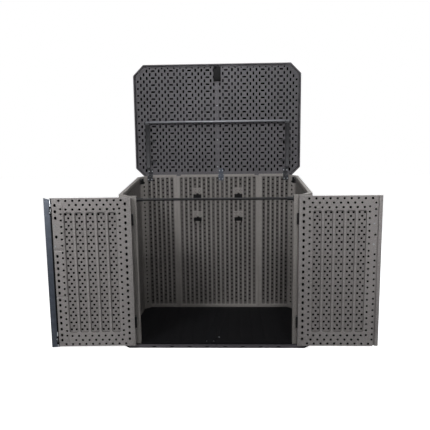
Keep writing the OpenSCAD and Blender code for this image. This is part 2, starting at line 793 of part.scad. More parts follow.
module door_border_tacks(shift) {
    for (m = margin_rows) for (u = [m[0] : border_pitch : door_w - m[0] + margin_end])
        for (v = [m[1], door_h - m[1]]) disc(u + m[2] * shift, v, door_tack_d);
    for (k = [0:floor((door_h - 2 * column_low) / side_pitch)])
        disc(hinge_columns[0] + shift, door_h - column_low - k * side_pitch, door_tack_d);
    for (v = latch_tops) disc(door_w - latch_columns[0] + shift, door_h - v, door_tack_d);
    for (k = [0:floor((door_h - latch_low - column_low) / side_pitch)])
        disc(door_w - latch_columns[0] + shift, door_h - latch_low - k * side_pitch, door_tack_d);
    for (u = [hinge_columns[1], door_w - latch_columns[1]]) {
        disc(u + shift, door_h - inner_first, door_tack_d - 3);
        for (k = [0:floor((door_h - 2 * inner_low) / side_pitch)])
            disc(u + shift, door_h - inner_low - k * side_pitch, door_tack_d - 3);
    }
}

module door_channel_tacks(shift) {
    run = door_h - channel_low - channel_top;
    for (c = [0:door_channels - 1]) for (r = [0:floor((run - 2 * channel_end) / channel_row)])
        for (p = [[-pair_x, 0], [pair_x, 0], [0, -channel_row / 2]])
            disc(channel_first + shift + c * channel_pitch + p[0],
                channel_low + run - channel_end - r * channel_row + p[1], door_tack_d - 2);
}

module door_channels_2d(shift) {
    for (c = [0:door_channels - 1])
        translate([channel_first + shift + c * channel_pitch - channel_w / 2, channel_low])
            square([channel_w, door_h - channel_low - channel_top]);
}

// Door panel: the free edge steps down to a thin lip
module door_panel(face, shift) {
    lip_depth = door_t - rebate_t;
    difference() {
        union() {
            linear_extrude(channel_depth) difference() {
                square([face, door_h]);
                door_channels_2d(shift);
                door_border_tacks(shift);
            }
            translate([0, 0, channel_depth]) linear_extrude(tack_depth) difference() {
                square([face, door_h]);
                door_border_tacks(shift);
                door_channel_tacks(shift);
            }
            translate([0, 0, channel_depth + tack_depth]) slab(face, door_h, door_t - channel_depth - tack_depth);
            translate([0, 0, lip_depth]) slab(door_w, door_h, rebate_t);
        }
        for (c = [0:door_channels])
            translate([channel_first + (c - 0.5) * channel_pitch - 3, -1, door_t - 3]) cube([6, door_h + 2, 4]);
    }
}

handle_len = 190;
handle_pitch = 150;
handle_mid = 844.5;
handle_w = 18;
handle_out = 36;
handle_u = [face_w - 14, face_w - 38];
hinge_mid = [door_h - 165.5, 178];

module handle_holes(u) {
    for (e = [-1, 1]) translate([u, handle_mid + e * handle_pitch / 2, -pad_t - 1])
        cylinder(h = door_t + pad_t + 2, r = screw_r + 0.5, $fn = round_fn);
}

module door_left() {
    color(resin) on_panel(-1) difference() {
        union() {
            door_panel(face_w, 0);
            translate([0, 0, -pad_t]) linear_extrude(pad_t) difference() {
                for (i = [-1:1]) translate([face_w - edge_pad_w, door_h / 2 + (i - 0.5) * edge_pad_pitch + 3])
                    rounded_rect(edge_pad_w, edge_pad_pitch - 6, 8);
                door_border_tacks(0);
            }
        }
        handle_holes(handle_u[0]);
    }
}

// Three raised pads stiffen the left door's free edge
pad_t = 1.5;
edge_pad_w = 82;
edge_pad_pitch = door_h * 0.315;
module rounded_rect(w, h, r) {
    translate([r, 0]) square([w - 2 * r, h]);
    translate([0, r]) square([w, h - 2 * r]);
    for (x = [r, w - r]) for (y = [r, h - r]) translate([x, y]) circle(r = r, $fn = round_fn);
}

// A raised strip runs down the right door's free edge
lip_strip_back = 4;
module door_right() {
    color(resin) on_panel(1) difference() {
        union() {
            door_panel(right_face_w, right_shift);
            translate([door_w - lip_strip_w, 0, lip_strip_back])
                slab(lip_strip_w, door_h, door_t - lip_strip_back);
        }
        handle_holes(handle_u[1]);
    }
}

astragal_over = 47;
astragal_t = 2.5;
astragal_on = 24;
module astragal() {
    color(steel_blue) on_panel(-1) translate([0, 0, door_t + seat_gap]) linear_extrude(astragal_t)
        polygon([[door_w - astragal_on, -12], [door_w + astragal_over - 6, -18], [door_w + astragal_over, -18],
            [door_w + astragal_over, door_h], [door_w + astragal_over - 6, door_h],
            [door_w, door_h - 12], [door_w - astragal_on, door_h - 12]]);
}

module handle(side) {
    u = handle_u[side < 0 ? 0 : 1];
    color(black) on_panel(side) translate([u - handle_w / 2, handle_mid - handle_len / 2, door_t + seat_gap])
        difference() {
        rotate([90, 0, 90]) linear_extrude(handle_w) polygon([
            [0, 0], [34, 0], [50, handle_out - 12], [handle_len - 50, handle_out - 12],
            [handle_len - 34, 0], [handle_len, 0], [handle_len - 16, handle_out], [16, handle_out]]);
        for (e = [-1, 1]) translate([handle_w / 2, handle_len / 2 + e * handle_pitch / 2, -1])
            cylinder(h = 17, r = screw_r + 0.2, $fn = round_fn);
    }
}

module handle_screws(side) {
    u = handle_u[side < 0 ? 0 : 1];
    seat = side < 0 ? -pad_t : 0;
    color(bright) on_panel(side) for (e = [-1, 1])
        translate([u, handle_mid + e * handle_pitch / 2, seat]) rotate([180, 0, 0]) screw(6, door_t + 12);
}

// Door hinges: post leaf with two knuckles, door leaf with one, loose pin
door_barrel_r = 6;
third = hinge_len / 3;
function hinge_z(level) = door_low + hinge_mid[level] - hinge_len / 2;

module door_knuckle(z, h) {
    translate([0, 0, z]) difference() {
        cylinder(h = h, r = door_barrel_r, $fn = round_fn);
        translate([0, 0, -1]) cylinder(h = h + 2, r = pin_r + run_gap, $fn = round_fn);
    }
}

module post_leaf(side, level) {
    color(black) mirrored(side) translate([-door_hinge_x, fy(-hinge_back), hinge_z(level)]) difference() {
        union() {
            door_knuckle(0, third - 0.4);
            door_knuckle(2 * third + 0.4, third - 0.4);
            for (z = [0, 2 * third + 0.4]) translate([-1.5, pin_r + 1, z])
                cube([3, hinge_back - pin_r - 1 - seat_gap, third - 0.4]);
            translate([-28, hinge_back - seat_gap - 2.5, 0]) cube([29.5, 2.5, hinge_len]);
        }
        for (z = [14, hinge_len - 14]) translate([-18, 0, z]) rotate([-90, 0, 0])
            cylinder(h = 40, r = screw_r + 0.2, $fn = round_fn);
    }
}

module door_leaf(side, level) {
    color(black) on_door(side) translate([0, 0, hinge_z(level)]) {
        door_knuckle(third, third);
        translate([pin_r + 1, -2, third]) cube([2.5, 12, third]);
        translate([door_edge - 2.6, 8, 0]) cube([2.3, 12, hinge_len]);
    }
}

module door_pins(side) {
    color(bright) mirrored(side) for (level = [0, 1])
        translate([-door_hinge_x, fy(-hinge_back), hinge_z(level) - 1.5]) {
            cylinder(h = hinge_len + 3, r = pin_r, $fn = round_fn);
            translate([0, 0, hinge_len + 1.8]) cylinder(h = 1.5, r = pin_r + 2, $fn = round_fn);
        }
}

// Bolts in the left door's rebate: the upper one rises into the lid's strike,
// the lower one drops into the floor's ledge
bolt_line = -6;
case_len = 62;
case_v = [door_h - 121.5, 20];
rebate_mid = door_w - rebate_w / 2;
bolt_len = 110;
bolt_rest = 3;
bolt_closed_x = -meet_gap - rebate_w / 2;
bolt_from_inner = -bolt_line - door_gap;

module bolt_case(level) {
    color(black) on_panel(-1) difference() {
        translate([rebate_mid - 8, case_v[level], -3]) cube([16, case_len, door_t - rebate_t + 3 - seat_gap]);
        translate([rebate_mid, case_v[level] - 1, bolt_from_inner]) rotate([-90, 0, 0])
            cylinder(h = case_len + 2, r = bolt_d / 2 + run_gap, $fn = round_fn);
        translate([rebate_mid - 2.5, case_v[level] + 14, -4]) cube([5, bolt_travel + 14, bolt_from_inner + 4]);
    }
}

module door_bolt(level) {
    low = level == 0 ? door_h - bolt_rest - bolt_len : bolt_rest;
    knob = case_v[level] + (level == 0 ? 18 : bolt_travel + 24);
    color(steel) on_panel(-1) {
        translate([rebate_mid, low, bolt_from_inner]) rotate([-90, 0, 0])
            cylinder(h = bolt_len, r = bolt_d / 2, $fn = round_fn);
        translate([rebate_mid, knob, -14]) cylinder(h = 14 + bolt_from_inner, r = 2, $fn = round_fn);
        translate([rebate_mid, knob, -16]) cylinder(h = 6, r = 5, $fn = round_fn);
    }
}

strike_s = (lid_axis_d - bolt_line) / cos(lid_pitch) - lid_axis_drop * tan(lid_pitch);

floor_side(-1);  // floor_left
floor_side(1);  // floor_right
side_wall(-1);  // side_wall_left
side_wall(1);  // side_wall_right
front_post(-1);  // front_post_left
front_post(1);  // front_post_right
rear_corner(-1);  // rear_corner_left
rear_corner(1);  // rear_corner_right
rear_wall();
header_tube();
header_socket(-1);  // header_socket_left
header_socket(1);  // header_socket_right
hook(-1, 0);  // hook_upper_left
hook(1, 0);  // hook_upper_right
hook(-1, 1);  // hook_lower_left
hook(1, 1);  // hook_lower_right
lid_side_panel(-1);  // lid_left
lid_side_panel(1);  // lid_right
lid_seam_strip();
lid_screws();
lid_strike();
lid_cross_tube();
lid_arm(-1);  // lid_arm_left
lid_arm(1);  // lid_arm_right
lid_arm_clips();
lid_leaf(-lid_bracket_x);  // lid_leaf_left
lid_leaf(lid_centre_x);  // lid_leaf_centre
lid_leaf(lid_bracket_x);  // lid_leaf_right
lid_bracket(-lid_bracket_x);  // lid_bracket_left
lid_bracket(lid_centre_x);  // lid_bracket_centre
lid_bracket(lid_bracket_x);  // lid_bracket_right
lid_hinge_pins();
bracket_bolts();
door_left();
door_right();
astragal();
handle(-1);  // handle_left
handle(1);  // handle_right
handle_screws(-1);  // handle_screws_left
handle_screws(1);  // handle_screws_right
post_leaf(-1, 0);  // post_leaf_upper_left
post_leaf(-1, 1);  // post_leaf_lower_left
post_leaf(1, 0);  // post_leaf_upper_right
post_leaf(1, 1);  // post_leaf_lower_right
door_leaf(-1, 0);  // door_leaf_upper_left
door_leaf(-1, 1);  // door_leaf_lower_left
door_leaf(1, 0);  // door_leaf_upper_right
door_leaf(1, 1);  // door_leaf_lower_right
door_pins(-1);  // door_pins_left
door_pins(1);  // door_pins_right
bolt_case(0);  // bolt_case_upper
bolt_case(1);  // bolt_case_lower
door_bolt(0);  // door_bolt_upper
door_bolt(1);  // door_bolt_lower
floor_joiner();
floor_screws();
corner_bracket(-1);  // corner_bracket_left
corner_bracket(1);  // corner_bracket_right
corner_screws();
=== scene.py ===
import json
import math

import bmesh
import bpy
from mathutils import Matrix, Vector
from mathutils.geometry import delaunay_2d_cdt


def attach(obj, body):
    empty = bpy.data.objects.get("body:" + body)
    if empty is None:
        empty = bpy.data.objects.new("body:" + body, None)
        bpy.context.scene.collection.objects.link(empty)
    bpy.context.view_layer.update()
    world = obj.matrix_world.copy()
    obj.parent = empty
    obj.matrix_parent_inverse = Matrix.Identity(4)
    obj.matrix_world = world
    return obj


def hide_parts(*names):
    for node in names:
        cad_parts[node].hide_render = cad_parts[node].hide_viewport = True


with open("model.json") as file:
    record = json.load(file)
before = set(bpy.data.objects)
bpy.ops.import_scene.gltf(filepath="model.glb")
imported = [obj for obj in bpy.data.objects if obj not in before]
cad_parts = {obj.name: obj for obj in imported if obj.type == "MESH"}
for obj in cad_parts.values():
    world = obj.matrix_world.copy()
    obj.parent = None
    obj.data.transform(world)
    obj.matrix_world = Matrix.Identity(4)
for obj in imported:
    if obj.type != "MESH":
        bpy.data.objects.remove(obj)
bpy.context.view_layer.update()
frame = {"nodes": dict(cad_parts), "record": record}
NODES = frame["nodes"]
MM = 0.001

BODY_OF = {node: body for body, nodes in frame["record"]["behaviour"]["bodies"].items() for node in nodes}
SLOT_OF = {part["node"]: part["material_slot"] for part in frame["record"]["subparts"]}

# The shed's own sizes; every length in this script is in millimetres unless its comment says otherwise
HALF_W = 725.0
BODY_D = 925.0
REAR_H = 1281.0
WALL_T = 29.0
# The walls stand on the floor's rim, and the rear one's middle panel is this wide
WALL_LOW = 30.3
REAR_MID = 750.0
# The body's cut corners, and how far in from a cut the fold of a panel reaches on its inner face
FRONT_CUT = 89.0
REAR_CUT = 70.0
FOLD_IN = WALL_T * math.tan(math.radians(22.5))
# Fall of the closed lid, and of the side walls' tops under it
LID_PITCH = math.tan(math.radians(7.2))
# The floor's front lip is painted paler than its tread, for the light on its front face against the tread's
# shade; it lies in front of this, in metres
FRONT_LIP = -(BODY_D / 2 + 10) * MM


def place(x, d, z):
    """A point of the shed: across, behind the front posts, up."""
    return Vector((x, d - BODY_D / 2, z))


# ---------------------------------------------------------------- materials
def srgb(hex_colour):
    """A linear colour from an sRGB hex value."""
    parts = [int(hex_colour[i:i + 2], 16) / 255 for i in (1, 3, 5)]
    return tuple(c / 12.92 if c <= 0.04045 else ((c + 0.055) / 1.055) ** 2.4 for c in parts) + (1.0,)


def add(tree, kind, settings=None, **links):
    """Adds one node. Settings are its properties; links are values or sockets by input name or number."""
    node = tree.nodes.new(kind)
    for name, value in (settings or {}).items():
        setattr(node, name, value)
    for name, value in links.items():
        key = int(name[1:]) if name[0] == "_" else name.replace("_", " ")
        socket = node.inputs[key]
        if isinstance(value, bpy.types.NodeSocket):
            tree.links.new(value, socket)
        else:
            socket.default_value = value
    return node


def blank(name):
    """A new material with an empty node tree, and that tree."""
    material = bpy.data.materials.new(name)
    material.use_nodes = True
    material.node_tree.nodes.clear()
    return material, material.node_tree


def moulded_polyethylene(name, base, light, dark, roughness=0.62, grain=7.0, sheen=0.4, lip=None):
    """Blow-moulded polyethylene with a leather-grain mould texture: matt, with faint pale flecks on
    the grain's tops and slow cloudy changes of shade where the parison stretched. Such a grain is
    usually 1 to 2 mm across; it is drawn at several times that so that it shows from three metres.
    Where a lip colour is given, what lies in front of the posts has that colour: painted light for a lit front
    face."""
    material, tree = blank(name)
    where = add(tree, "ShaderNodeTexCoord").outputs["Object"]
    fleck = add(tree, "ShaderNodeTexNoise", Vector=where, Scale=1000.0 / grain, Detail=2.0, Roughness=0.6)
    cloud = add(tree, "ShaderNodeTexNoise", Vector=where, Scale=5.0, Detail=3.0, Roughness=0.55)
    fleck_amount = add(tree, "ShaderNodeMapRange", Value=fleck.outputs["Fac"],
                       From_Min=0.38, From_Max=0.68, To_Min=0.0, To_Max=1.0)
    cloud_amount = add(tree, "ShaderNodeMapRange", Value=cloud.outputs["Fac"],
                       From_Min=0.35, From_Max=0.65, To_Min=0.0, To_Max=1.0)
    shade = add(tree, "ShaderNodeMix", {"data_type": "RGBA"}, _0=cloud_amount.outputs["Result"],
                _6=srgb(base), _7=srgb(dark))
    flecked = add(tree, "ShaderNodeMix", {"data_type": "RGBA"}, _0=fleck_amount.outputs["Result"],
                  _6=shade.outputs[2], _7=srgb(light))
    finish = flecked.outputs[2]
    # painted light: the front lip is painted paler than the rest, for the light on its front face
    if lip:
        across = add(tree, "ShaderNodeSeparateXYZ", Vector=where)
        front = add(tree, "ShaderNodeMath", {"operation": "LESS_THAN"}, _0=across.outputs["Y"], _1=FRONT_LIP)
        finish = add(tree, "ShaderNodeMix", {"data_type": "RGBA"}, _0=front.outputs[0], _6=finish,
                     _7=srgb(lip)).outputs[2]
    cells = add(tree, "ShaderNodeTexVoronoi", {"feature": "SMOOTH_F1"}, Vector=where, Scale=330.0,
                Smoothness=0.6)
    bump = add(tree, "ShaderNodeBump", Height=cells.outputs["Distance"], Strength=0.35, Distance=0.0006)
    shader = add(tree, "ShaderNodeBsdfPrincipled", Base_Color=finish, Roughness=roughness,
                 Normal=bump.outputs["Normal"], Specular_IOR_Level=sheen)
    add(tree, "ShaderNodeOutputMaterial", Surface=shader.outputs["BSDF"])
    return material


def powder_coated_steel(name, base, worn, roughness=0.42):
    """Powder-coated steel: an even satin skin with faint orange peel and slightly rubbed patches."""
    material, tree = blank(name)
    where = add(tree, "ShaderNodeTexCoord").outputs["Object"]
    rub = add(tree, "ShaderNodeTexNoise", Vector=where, Scale=28.0, Detail=4.0, Roughness=0.65)
    rub_amount = add(tree, "ShaderNodeMapRange", Value=rub.outputs["Fac"],
                     From_Min=0.45, From_Max=0.75, To_Min=0.0, To_Max=1.0)
    colour = add(tree, "ShaderNodeMix", {"data_type": "RGBA"}, _0=rub_amount.outputs["Result"],
                 _6=srgb(base), _7=srgb(worn))
    peel = add(tree, "ShaderNodeTexNoise", Vector=where, Scale=420.0, Detail=1.0)
    bump = add(tree, "ShaderNodeBump", Height=peel.outputs["Fac"], Strength=0.18, Distance=0.0004)
    gloss = add(tree, "ShaderNodeMapRange", Value=rub.outputs["Fac"],
                From_Min=0.3, From_Max=0.7, To_Min=roughness - 0.06, To_Max=roughness + 0.08)
    shader = add(tree, "ShaderNodeBsdfPrincipled", Base_Color=colour.outputs[2], Metallic=0.35,
                 Roughness=gloss.outputs["Result"], Normal=bump.outputs["Normal"])
    add(tree, "ShaderNodeOutputMaterial", Surface=shader.outputs["BSDF"])
    return material


def zinc_plated_steel(name, base, dull):
    """Zinc-plated steel: bright with a soft spangle and dull patches from handling."""
    material, tree = blank(name)
    where = add(tree, "ShaderNodeTexCoord").outputs["Object"]
    spangle = add(tree, "ShaderNodeTexVoronoi", Vector=where, Scale=260.0)
    handled = add(tree, "ShaderNodeTexNoise", Vector=where, Scale=90.0, Detail=3.0)
    colour = add(tree, "ShaderNodeMix", {"data_type": "RGBA"}, _0=handled.outputs["Fac"],
                 _6=srgb(base), _7=srgb(dull))
    gloss = add(tree, "ShaderNodeMapRange", Value=spangle.outputs["Distance"],
                From_Min=0.0, From_Max=0.6, To_Min=0.26, To_Max=0.42)
    shader = add(tree, "ShaderNodeBsdfPrincipled", Base_Color=colour.outputs[2], Metallic=1.0,
                 Roughness=gloss.outputs["Result"])
    add(tree, "ShaderNodeOutputMaterial", Surface=shader.outputs["BSDF"])
    return material


MATERIALS = {
    "wall_resin": moulded_polyethylene("grey_polyethylene_walls", "#8a8683", "#9a9693", "#7d7976"),
    "door_resin": moulded_polyethylene("grey_polyethylene_doors", "#8f8b8a", "#a19d9c", "#868281"),
    "lid_resin": moulded_polyethylene("graphite_polyethylene_lid", "#545256", "#676569", "#474549"),
    "floor_resin": moulded_polyethylene("black_polyethylene_floor", "#0b0b0d", "#121215", "#070709", 0.7,
                                        sheen=0.12, lip="#5c595e"),
    "black_resin": moulded_polyethylene("black_nylon_fittings", "#0b0b0c", "#121214", "#070708", 0.6, 4.0,
                                        sheen=0.12),
    "black_steel": powder_coated_steel("black_powder_coat", "#0f1012", "#1a1b1e"),
    "blue_steel": powder_coated_steel("blue_grey_powder_coat", "#484e59", "#565d69"),
    "gunmetal": powder_coated_steel("gunmetal_powder_coat", "#2c2c2f", "#39393c", 0.5),
    "graphite_steel": powder_coated_steel("graphite_powder_coat", "#2b2c30", "#36373b"),
    "tube_steel": powder_coated_steel("pale_powder_coat", "#74767b", "#84868b", 0.36),
    "zinc_steel": zinc_plated_steel("zinc_plated_steel", "#c9ccd0", "#8f9398"),
    # painted shade: darker copies of the same resins, near black in wells and paler in channels, where shade
    # falls
    "shaded_resin": moulded_polyethylene("grey_polyethylene_well_painted_shade", "#100f0f", "#151414", "#0b0b0b", 0.9,
                                         sheen=0.05),
    "shaded_lid": moulded_polyethylene("graphite_polyethylene_well_painted_shade", "#070708", "#0b0b0c", "#050505", 0.9,
                                       sheen=0.05),
    # painted shade of channels: paler than the wells; a door's channel sides take the darker one
    "painted_shade_channels": moulded_polyethylene("grey_polyethylene_channel_painted_shade", "#5e5b59", "#6b6866", "#53504f"),
    "painted_shade_door_channels": moulded_polyethylene("grey_polyethylene_door_channel_painted_shade", "#858180", "#969291", "#7b7776"),
}
for node, slot_name in SLOT_OF.items():
    mesh = NODES[node].data
    mesh.materials.clear()
    mesh.materials.append(MATERIALS[slot_name])
# The materials of a moulded panel by the number its faces carry: its face, then painted shade for its wells,
# its channels and, on a door, its channels' sides
PLAIN, WELL, CHANNEL, CHANNEL_SIDE = range(4)
WALL_RESIN_AND_SHADES = [MATERIALS[name] for name in ("wall_resin", "shaded_resin", "painted_shade_channels")]
DOOR_RESIN_AND_SHADES = [MATERIALS[name] for name in ("door_resin", "shaded_resin", "painted_shade_door_channels", "painted_shade_channels")]
LID_RESIN_AND_SHADES = [MATERIALS[name] for name in ("lid_resin", "shaded_lid")]


# ---------------------------------------------------------------- moulded sheets
TACK_SIDES = 16
CORNER_STEPS = 4
# A tack-off's lip and throat, as growth of its outline and level, and the share its radius loses to its foot
LIP = 0.9
TACK_PROFILE = ((LIP, 0.0), (0.25, -0.45), (-0.1, -1.2))
TAPER = 0.28
# A face this far under its panel's level lies in a well and takes the well's painted shade
WELL_FROM = 3.0
# How far a panel's moulded edge and a channel's mouth are rounded, and the share of it at the middle step
SOFT_EDGE = 1.8
SOFT_MOUTH = 1.6
MIDDLE_STEP = 0.3
# Points nearer than this are joined, and edges sharper than this, in degrees, stay sharp
WELD = 0.004
SHARP_FROM = 35


def stadium(u, v, kind, grow=0.0):
    """A tack-off's outline: round, or drawn out across or along, as TACK_SIDES points."""
    across, along, radius, _ = kind
    points = []
    for k in range(TACK_SIDES):
        angle = 2 * math.pi * (k + 0.5) / TACK_SIDES
        c, s = math.cos(angle), math.sin(angle)
        points.append(Vector((u + (radius + grow) * c + math.copysign(across, c),
                              v + (radius + grow) * s + math.copysign(along, s))))
    return points


def rounded_box(u0, v0, u1, v1, radius, grow=0.0):
    """A rectangle with round corners, grown outwards by grow."""
    points = []
    u0, v0, u1, v1, radius = u0 - grow, v0 - grow, u1 + grow, v1 + grow, radius + grow
    for cu, cv, start in ((u1 - radius, v1 - radius, 0), (u0 + radius, v1 - radius, 90),
                          (u0 + radius, v0 + radius, 180), (u1 - radius, v0 + radius, 270)):
        for i in range(CORNER_STEPS + 1):
            angle = math.radians(start + 90 * i / CORNER_STEPS)
            points.append(Vector((cu + radius * math.cos(angle), cv + radius * math.sin(angle))))
    return points


def inset(outline, depth):
    """An outline moved inwards by depth; it runs anticlockwise."""
    moved = []
    for i, here in enumerate(outline):
        before = (here - outline[i - 1]).normalized()
        after = (outline[(i + 1) % len(outline)] - here).normalized()
        n1, n2 = Vector((-before.y, before.x)), Vector((-after.y, after.x))
        moved.append(here + (n1 + n2) / (1 + n1.dot(n2)) * depth)
    return moved


def corners(*points):
    """An outline from its corner points."""
    return [Vector(p) for p in points]


def sheet(bm, to, outline, holes, level):
    """A flat face with holes in it, at one level of a panel."""
    points, loops = [], []
    for loop in [outline] + holes:
        loops.append(list(range(len(points), len(points) + len(loop))))
        points += [Vector((p.x, p.y)) for p in loop]
    flat, _, faces, _, _, sources = delaunay_2d_cdt(points, [], loops, 1, 1e-5, True)
    made = [bm.verts.new(to @ Vector((p.x, p.y, level))) for p in flat]
    for face, source in zip(faces, sources):
        if source == [0]:
            bm.faces.new([made[i] for i in face])


def walls(bm, to, rings, finish=PLAIN):
    """Strips of faces between outlines that have the same number of points, each at its own level.
    Returns the last outline's points."""
    above = None
    for outline, level in rings:
        here = [bm.verts.new(to @ Vector((p.x, p.y, level))) for p in outline]
        if above:
            for i in range(len(here)):
                j = (i + 1) % len(here)
                bm.faces.new((above[i], above[j], here[j], here[i])).material_index = finish
        above = here
    return above


def plate(bm, to, outline, top, bottom, edge):
    """A closed plate whose top edge is rounded over."""
    rings = [(inset(outline, edge), top), (inset(outline, edge * MIDDLE_STEP), top - edge * MIDDLE_STEP),
             (outline, top - edge), (outline, bottom)]
    bm.faces.new([bm.verts.new(to @ Vector((p.x, p.y, top))) for p in rings[0][0]])
    bm.faces.new(list(reversed(walls(bm, to, rings))))


def tack_tree():
    """Geometry Nodes: one moulded tack-off on every point, as real faces."""
    tree = bpy.data.node_groups.new("moulded_tack_offs", "GeometryNodeTree")
    for name, way, kind in (("Geometry", "INPUT", "Geometry"), ("Tack-off", "INPUT", "Object"),
                            ("Size", "INPUT", "Float"), ("Finish", "INPUT", "Material"),
                            ("Geometry", "OUTPUT", "Geometry")):
        tree.interface.new_socket(name, in_out=way, socket_type="NodeSocket" + kind)
    given = add(tree, "NodeGroupInput")
    shape = add(tree, "GeometryNodeObjectInfo", Object=given.outputs["Tack-off"])
    spread = add(tree, "GeometryNodeInstanceOnPoints", Points=given.outputs["Geometry"],
                 Instance=shape.outputs["Geometry"], Scale=given.outputs["Size"])
    real = add(tree, "GeometryNodeRealizeInstances", Geometry=spread.outputs["Instances"])
    dressed = add(tree, "GeometryNodeSetMaterial", Geometry=real.outputs["Geometry"],
                  Material=given.outputs["Finish"])
    add(tree, "NodeGroupOutput", Geometry=dressed.outputs["Geometry"])
    return tree


TACK_TREE = tack_tree()
TACK_SHAPES = {}


def tack_shape(kind):
    """One tack-off: a rounded lip, a short straight throat and a tapering well."""
    if kind not in TACK_SHAPES:
        bm = bmesh.new()
        rings = [(stadium(0, 0, kind, grow), level) for grow, level in TACK_PROFILE]
        rings.append((stadium(0, 0, kind, -TAPER * kind[2]), -kind[3]))
        bm.faces.new(list(reversed(walls(bm, Matrix(), rings))))
        bmesh.ops.reverse_faces(bm, faces=bm.faces)
        mesh = bpy.data.meshes.new("tack_off")
        bm.to_mesh(mesh)
        TACK_SHAPES[kind] = bpy.data.objects.new("tack_off", mesh)
        bpy.context.scene.collection.objects.link(TACK_SHAPES[kind])
    return TACK_SHAPES[kind]


def tack_offs(bm, to, places, kind, finish, level):
    """Sets the same tack-off at every place of a panel's level."""
    points = bpy.data.meshes.new("tack_places")
    points.from_pydata([(u, v, level) for u, v in places], [], [])
    holder = bpy.data.objects.new("tack_places", points)
    bpy.context.scene.collection.objects.link(holder)
    nodes = holder.modifiers.new("tack_offs", "NODES")
    nodes.node_group = TACK_TREE
    values = {"Tack-off": tack_shape(kind), "Size": 1.0, "Finish": finish}
    for item in TACK_TREE.interface.items_tree:
        if item.in_out == "INPUT" and item.name in values:
            nodes[item.identifier] = values[item.name]
    graph = bpy.context.evaluated_depsgraph_get()
    mesh = bpy.data.meshes.new_from_object(holder.evaluated_get(graph))
    holder.modifiers.clear()
    bpy.data.objects.remove(holder)
    mesh.transform(to)
    start = len(bm.faces)
    bm.from_mesh(mesh)
    bm.faces.ensure_lookup_table()
    back = to.inverted()
    for face in bm.faces[start:]:
        deepest = min((back @ v.co).z for v in face.verts)
        # faces deep in a tack-off get the near-black painted shade of wells
        face.material_index = WELL if deepest < level - WELL_FROM else PLAIN
        face.smooth = True
    bpy.data.meshes.remove(mesh)


def pierced(bm, to, outline, tacks, level, finish, holes=()):
    """A face with all its tack-offs. tacks is {kind: [places]}."""
    mouths = [stadium(u, v, kind, LIP) for kind, places in tacks.items() for u, v in places]
    sheet(bm, to, outline, mouths + list(holes), level)
    for kind, places in tacks.items():
        if places:
            tack_offs(bm, to, places, kind, finish, level)


def channel(bm, to, box, radius, depth, slope, tacks, finish, sides=PLAIN):
    """A sunk channel with soft sloping sides and tack-offs along its floor. Returns its mouth for the face
    round it."""
    profile = ((SOFT_MOUTH, 0.0), (SOFT_MOUTH * MIDDLE_STEP, -SOFT_MOUTH * MIDDLE_STEP), (-0.5, -SOFT_MOUTH),
               (1.2 - slope, 0.9 - depth), (-slope, -depth))
    rings = [(rounded_box(*box, radius, grow), level) for grow, level in profile]
    walls(bm, to, rings, sides)
    pierced(bm, to, rings[-1][0], tacks, -depth, finish)
    return rings[0][0]


def paint_channel_shade(faces):
    """Gives the floors and sides of channels the channels' painted shade; their wells keep their darker painted
    shade.
    """
    for face in faces:
        face.material_index = face.material_index or CHANNEL


def panel_back(bm, to, outline, back):
    """A panel's rounded front edge, its sides and its plain back; its moulded face is made apart."""
    soft = SOFT_EDGE * MIDDLE_STEP
    last = walls(bm, to, [(inset(outline, SOFT_EDGE), 0.0), (inset(outline, soft), -soft),
                          (outline, -SOFT_EDGE), (outline, back)])
    bm.faces.new(list(reversed(last)))


def finished(bm, name, slot_name, stands_for, materials, body=None):
    """Closes the mesh, puts it in metres, and hands it to its body in place of its CAD nodes."""
    bmesh.ops.remove_doubles(bm, verts=bm.verts, dist=WELD)
    loose = [v for v in bm.verts if not v.link_faces]
    bmesh.ops.delete(bm, geom=loose, context="VERTS")
    bmesh.ops.recalc_face_normals(bm, faces=bm.faces)
    bmesh.ops.scale(bm, vec=(MM, MM, MM), verts=bm.verts)
    mesh = bpy.data.meshes.new(name)
    bm.to_mesh(mesh)
    bm.free()
    for material in materials:
        mesh.materials.append(material)
    mesh.polygons.foreach_set("use_smooth", [True] * len(mesh.polygons))
    mesh.set_sharp_from_angle(angle=math.radians(SHARP_FROM))
    piece = bpy.data.objects.new(name, mesh)
    bpy.context.scene.collection.objects.link(piece)
    if stands_for:
        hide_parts(*stands_for)
    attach(piece, body or BODY_OF[stands_for[0]])
    return piece


# ---------------------------------------------------------------- walls
# Half of the joint between two panels
SEAM = 0.3
# A tack-off is (half length across, half length along, radius, depth)
WALL_WELL = (0.0, 0.0, 7.9, 13.5)
SMALL_WALL_WELL = (0.0, 0.0, 5.8, 12.0)
HOOK_WELL = (0.0, 0.0, 3.8, 9.0)
# Channels of the ribbed walls: pitch, width, depth, slope of the sides, corner radius, and the plain land
# over and under them
RIB_PITCH = 41.5
CHANNEL_WIDE = 25.6
CHANNEL_DEEP = 10.5
CHANNEL_SLOPE = 3.6
CHANNEL_ROUND = 6.0
LAND = 26.0
FOOT_LAND = 34.0
# Rows of tack-offs along a wall's channels
ROW_PITCH = 37.3
FIRST_ROW = 62.0
# Planks on the weather side: how proud, their pitch, the groove between them, and how far under the notches
# they stop
PLANK = 2.5
PLANK_PITCH = 83.0
PLANK_GROOVE = 5.0
PLANK_STOP = 4
# Ribs of the rear wall: those on each side of the middle one, which of them have small wells, and on the
# corner panels the first one's place and their number; on a side wall, the plain strips at both ends together
MIDDLE_RIBS = 8
SMALL_WELLS = (1, 8)
CORNER_FIRST = 16
CORNER_RIBS = 6
SIDE_LAND = 50
# How far a side wall's top lies under the rear wall's, over the rear wall's inner face
SIDE_DROP = 12.5
# How far the folded part of a corner panel runs into its rear part
OVERLAP = 0.5
# Notches in the rear wall's top: for the lid's brackets, and at the seams
NOTCH_HALF = 28.0
NOTCH_DEEP = 15.0
CENTRE_NOTCH_X = 31.0
SIDE_NOTCH_X = -618.0
SEAM_NOTCH_X = 335.0
SEAM_NOTCH_DEEP = 12.0
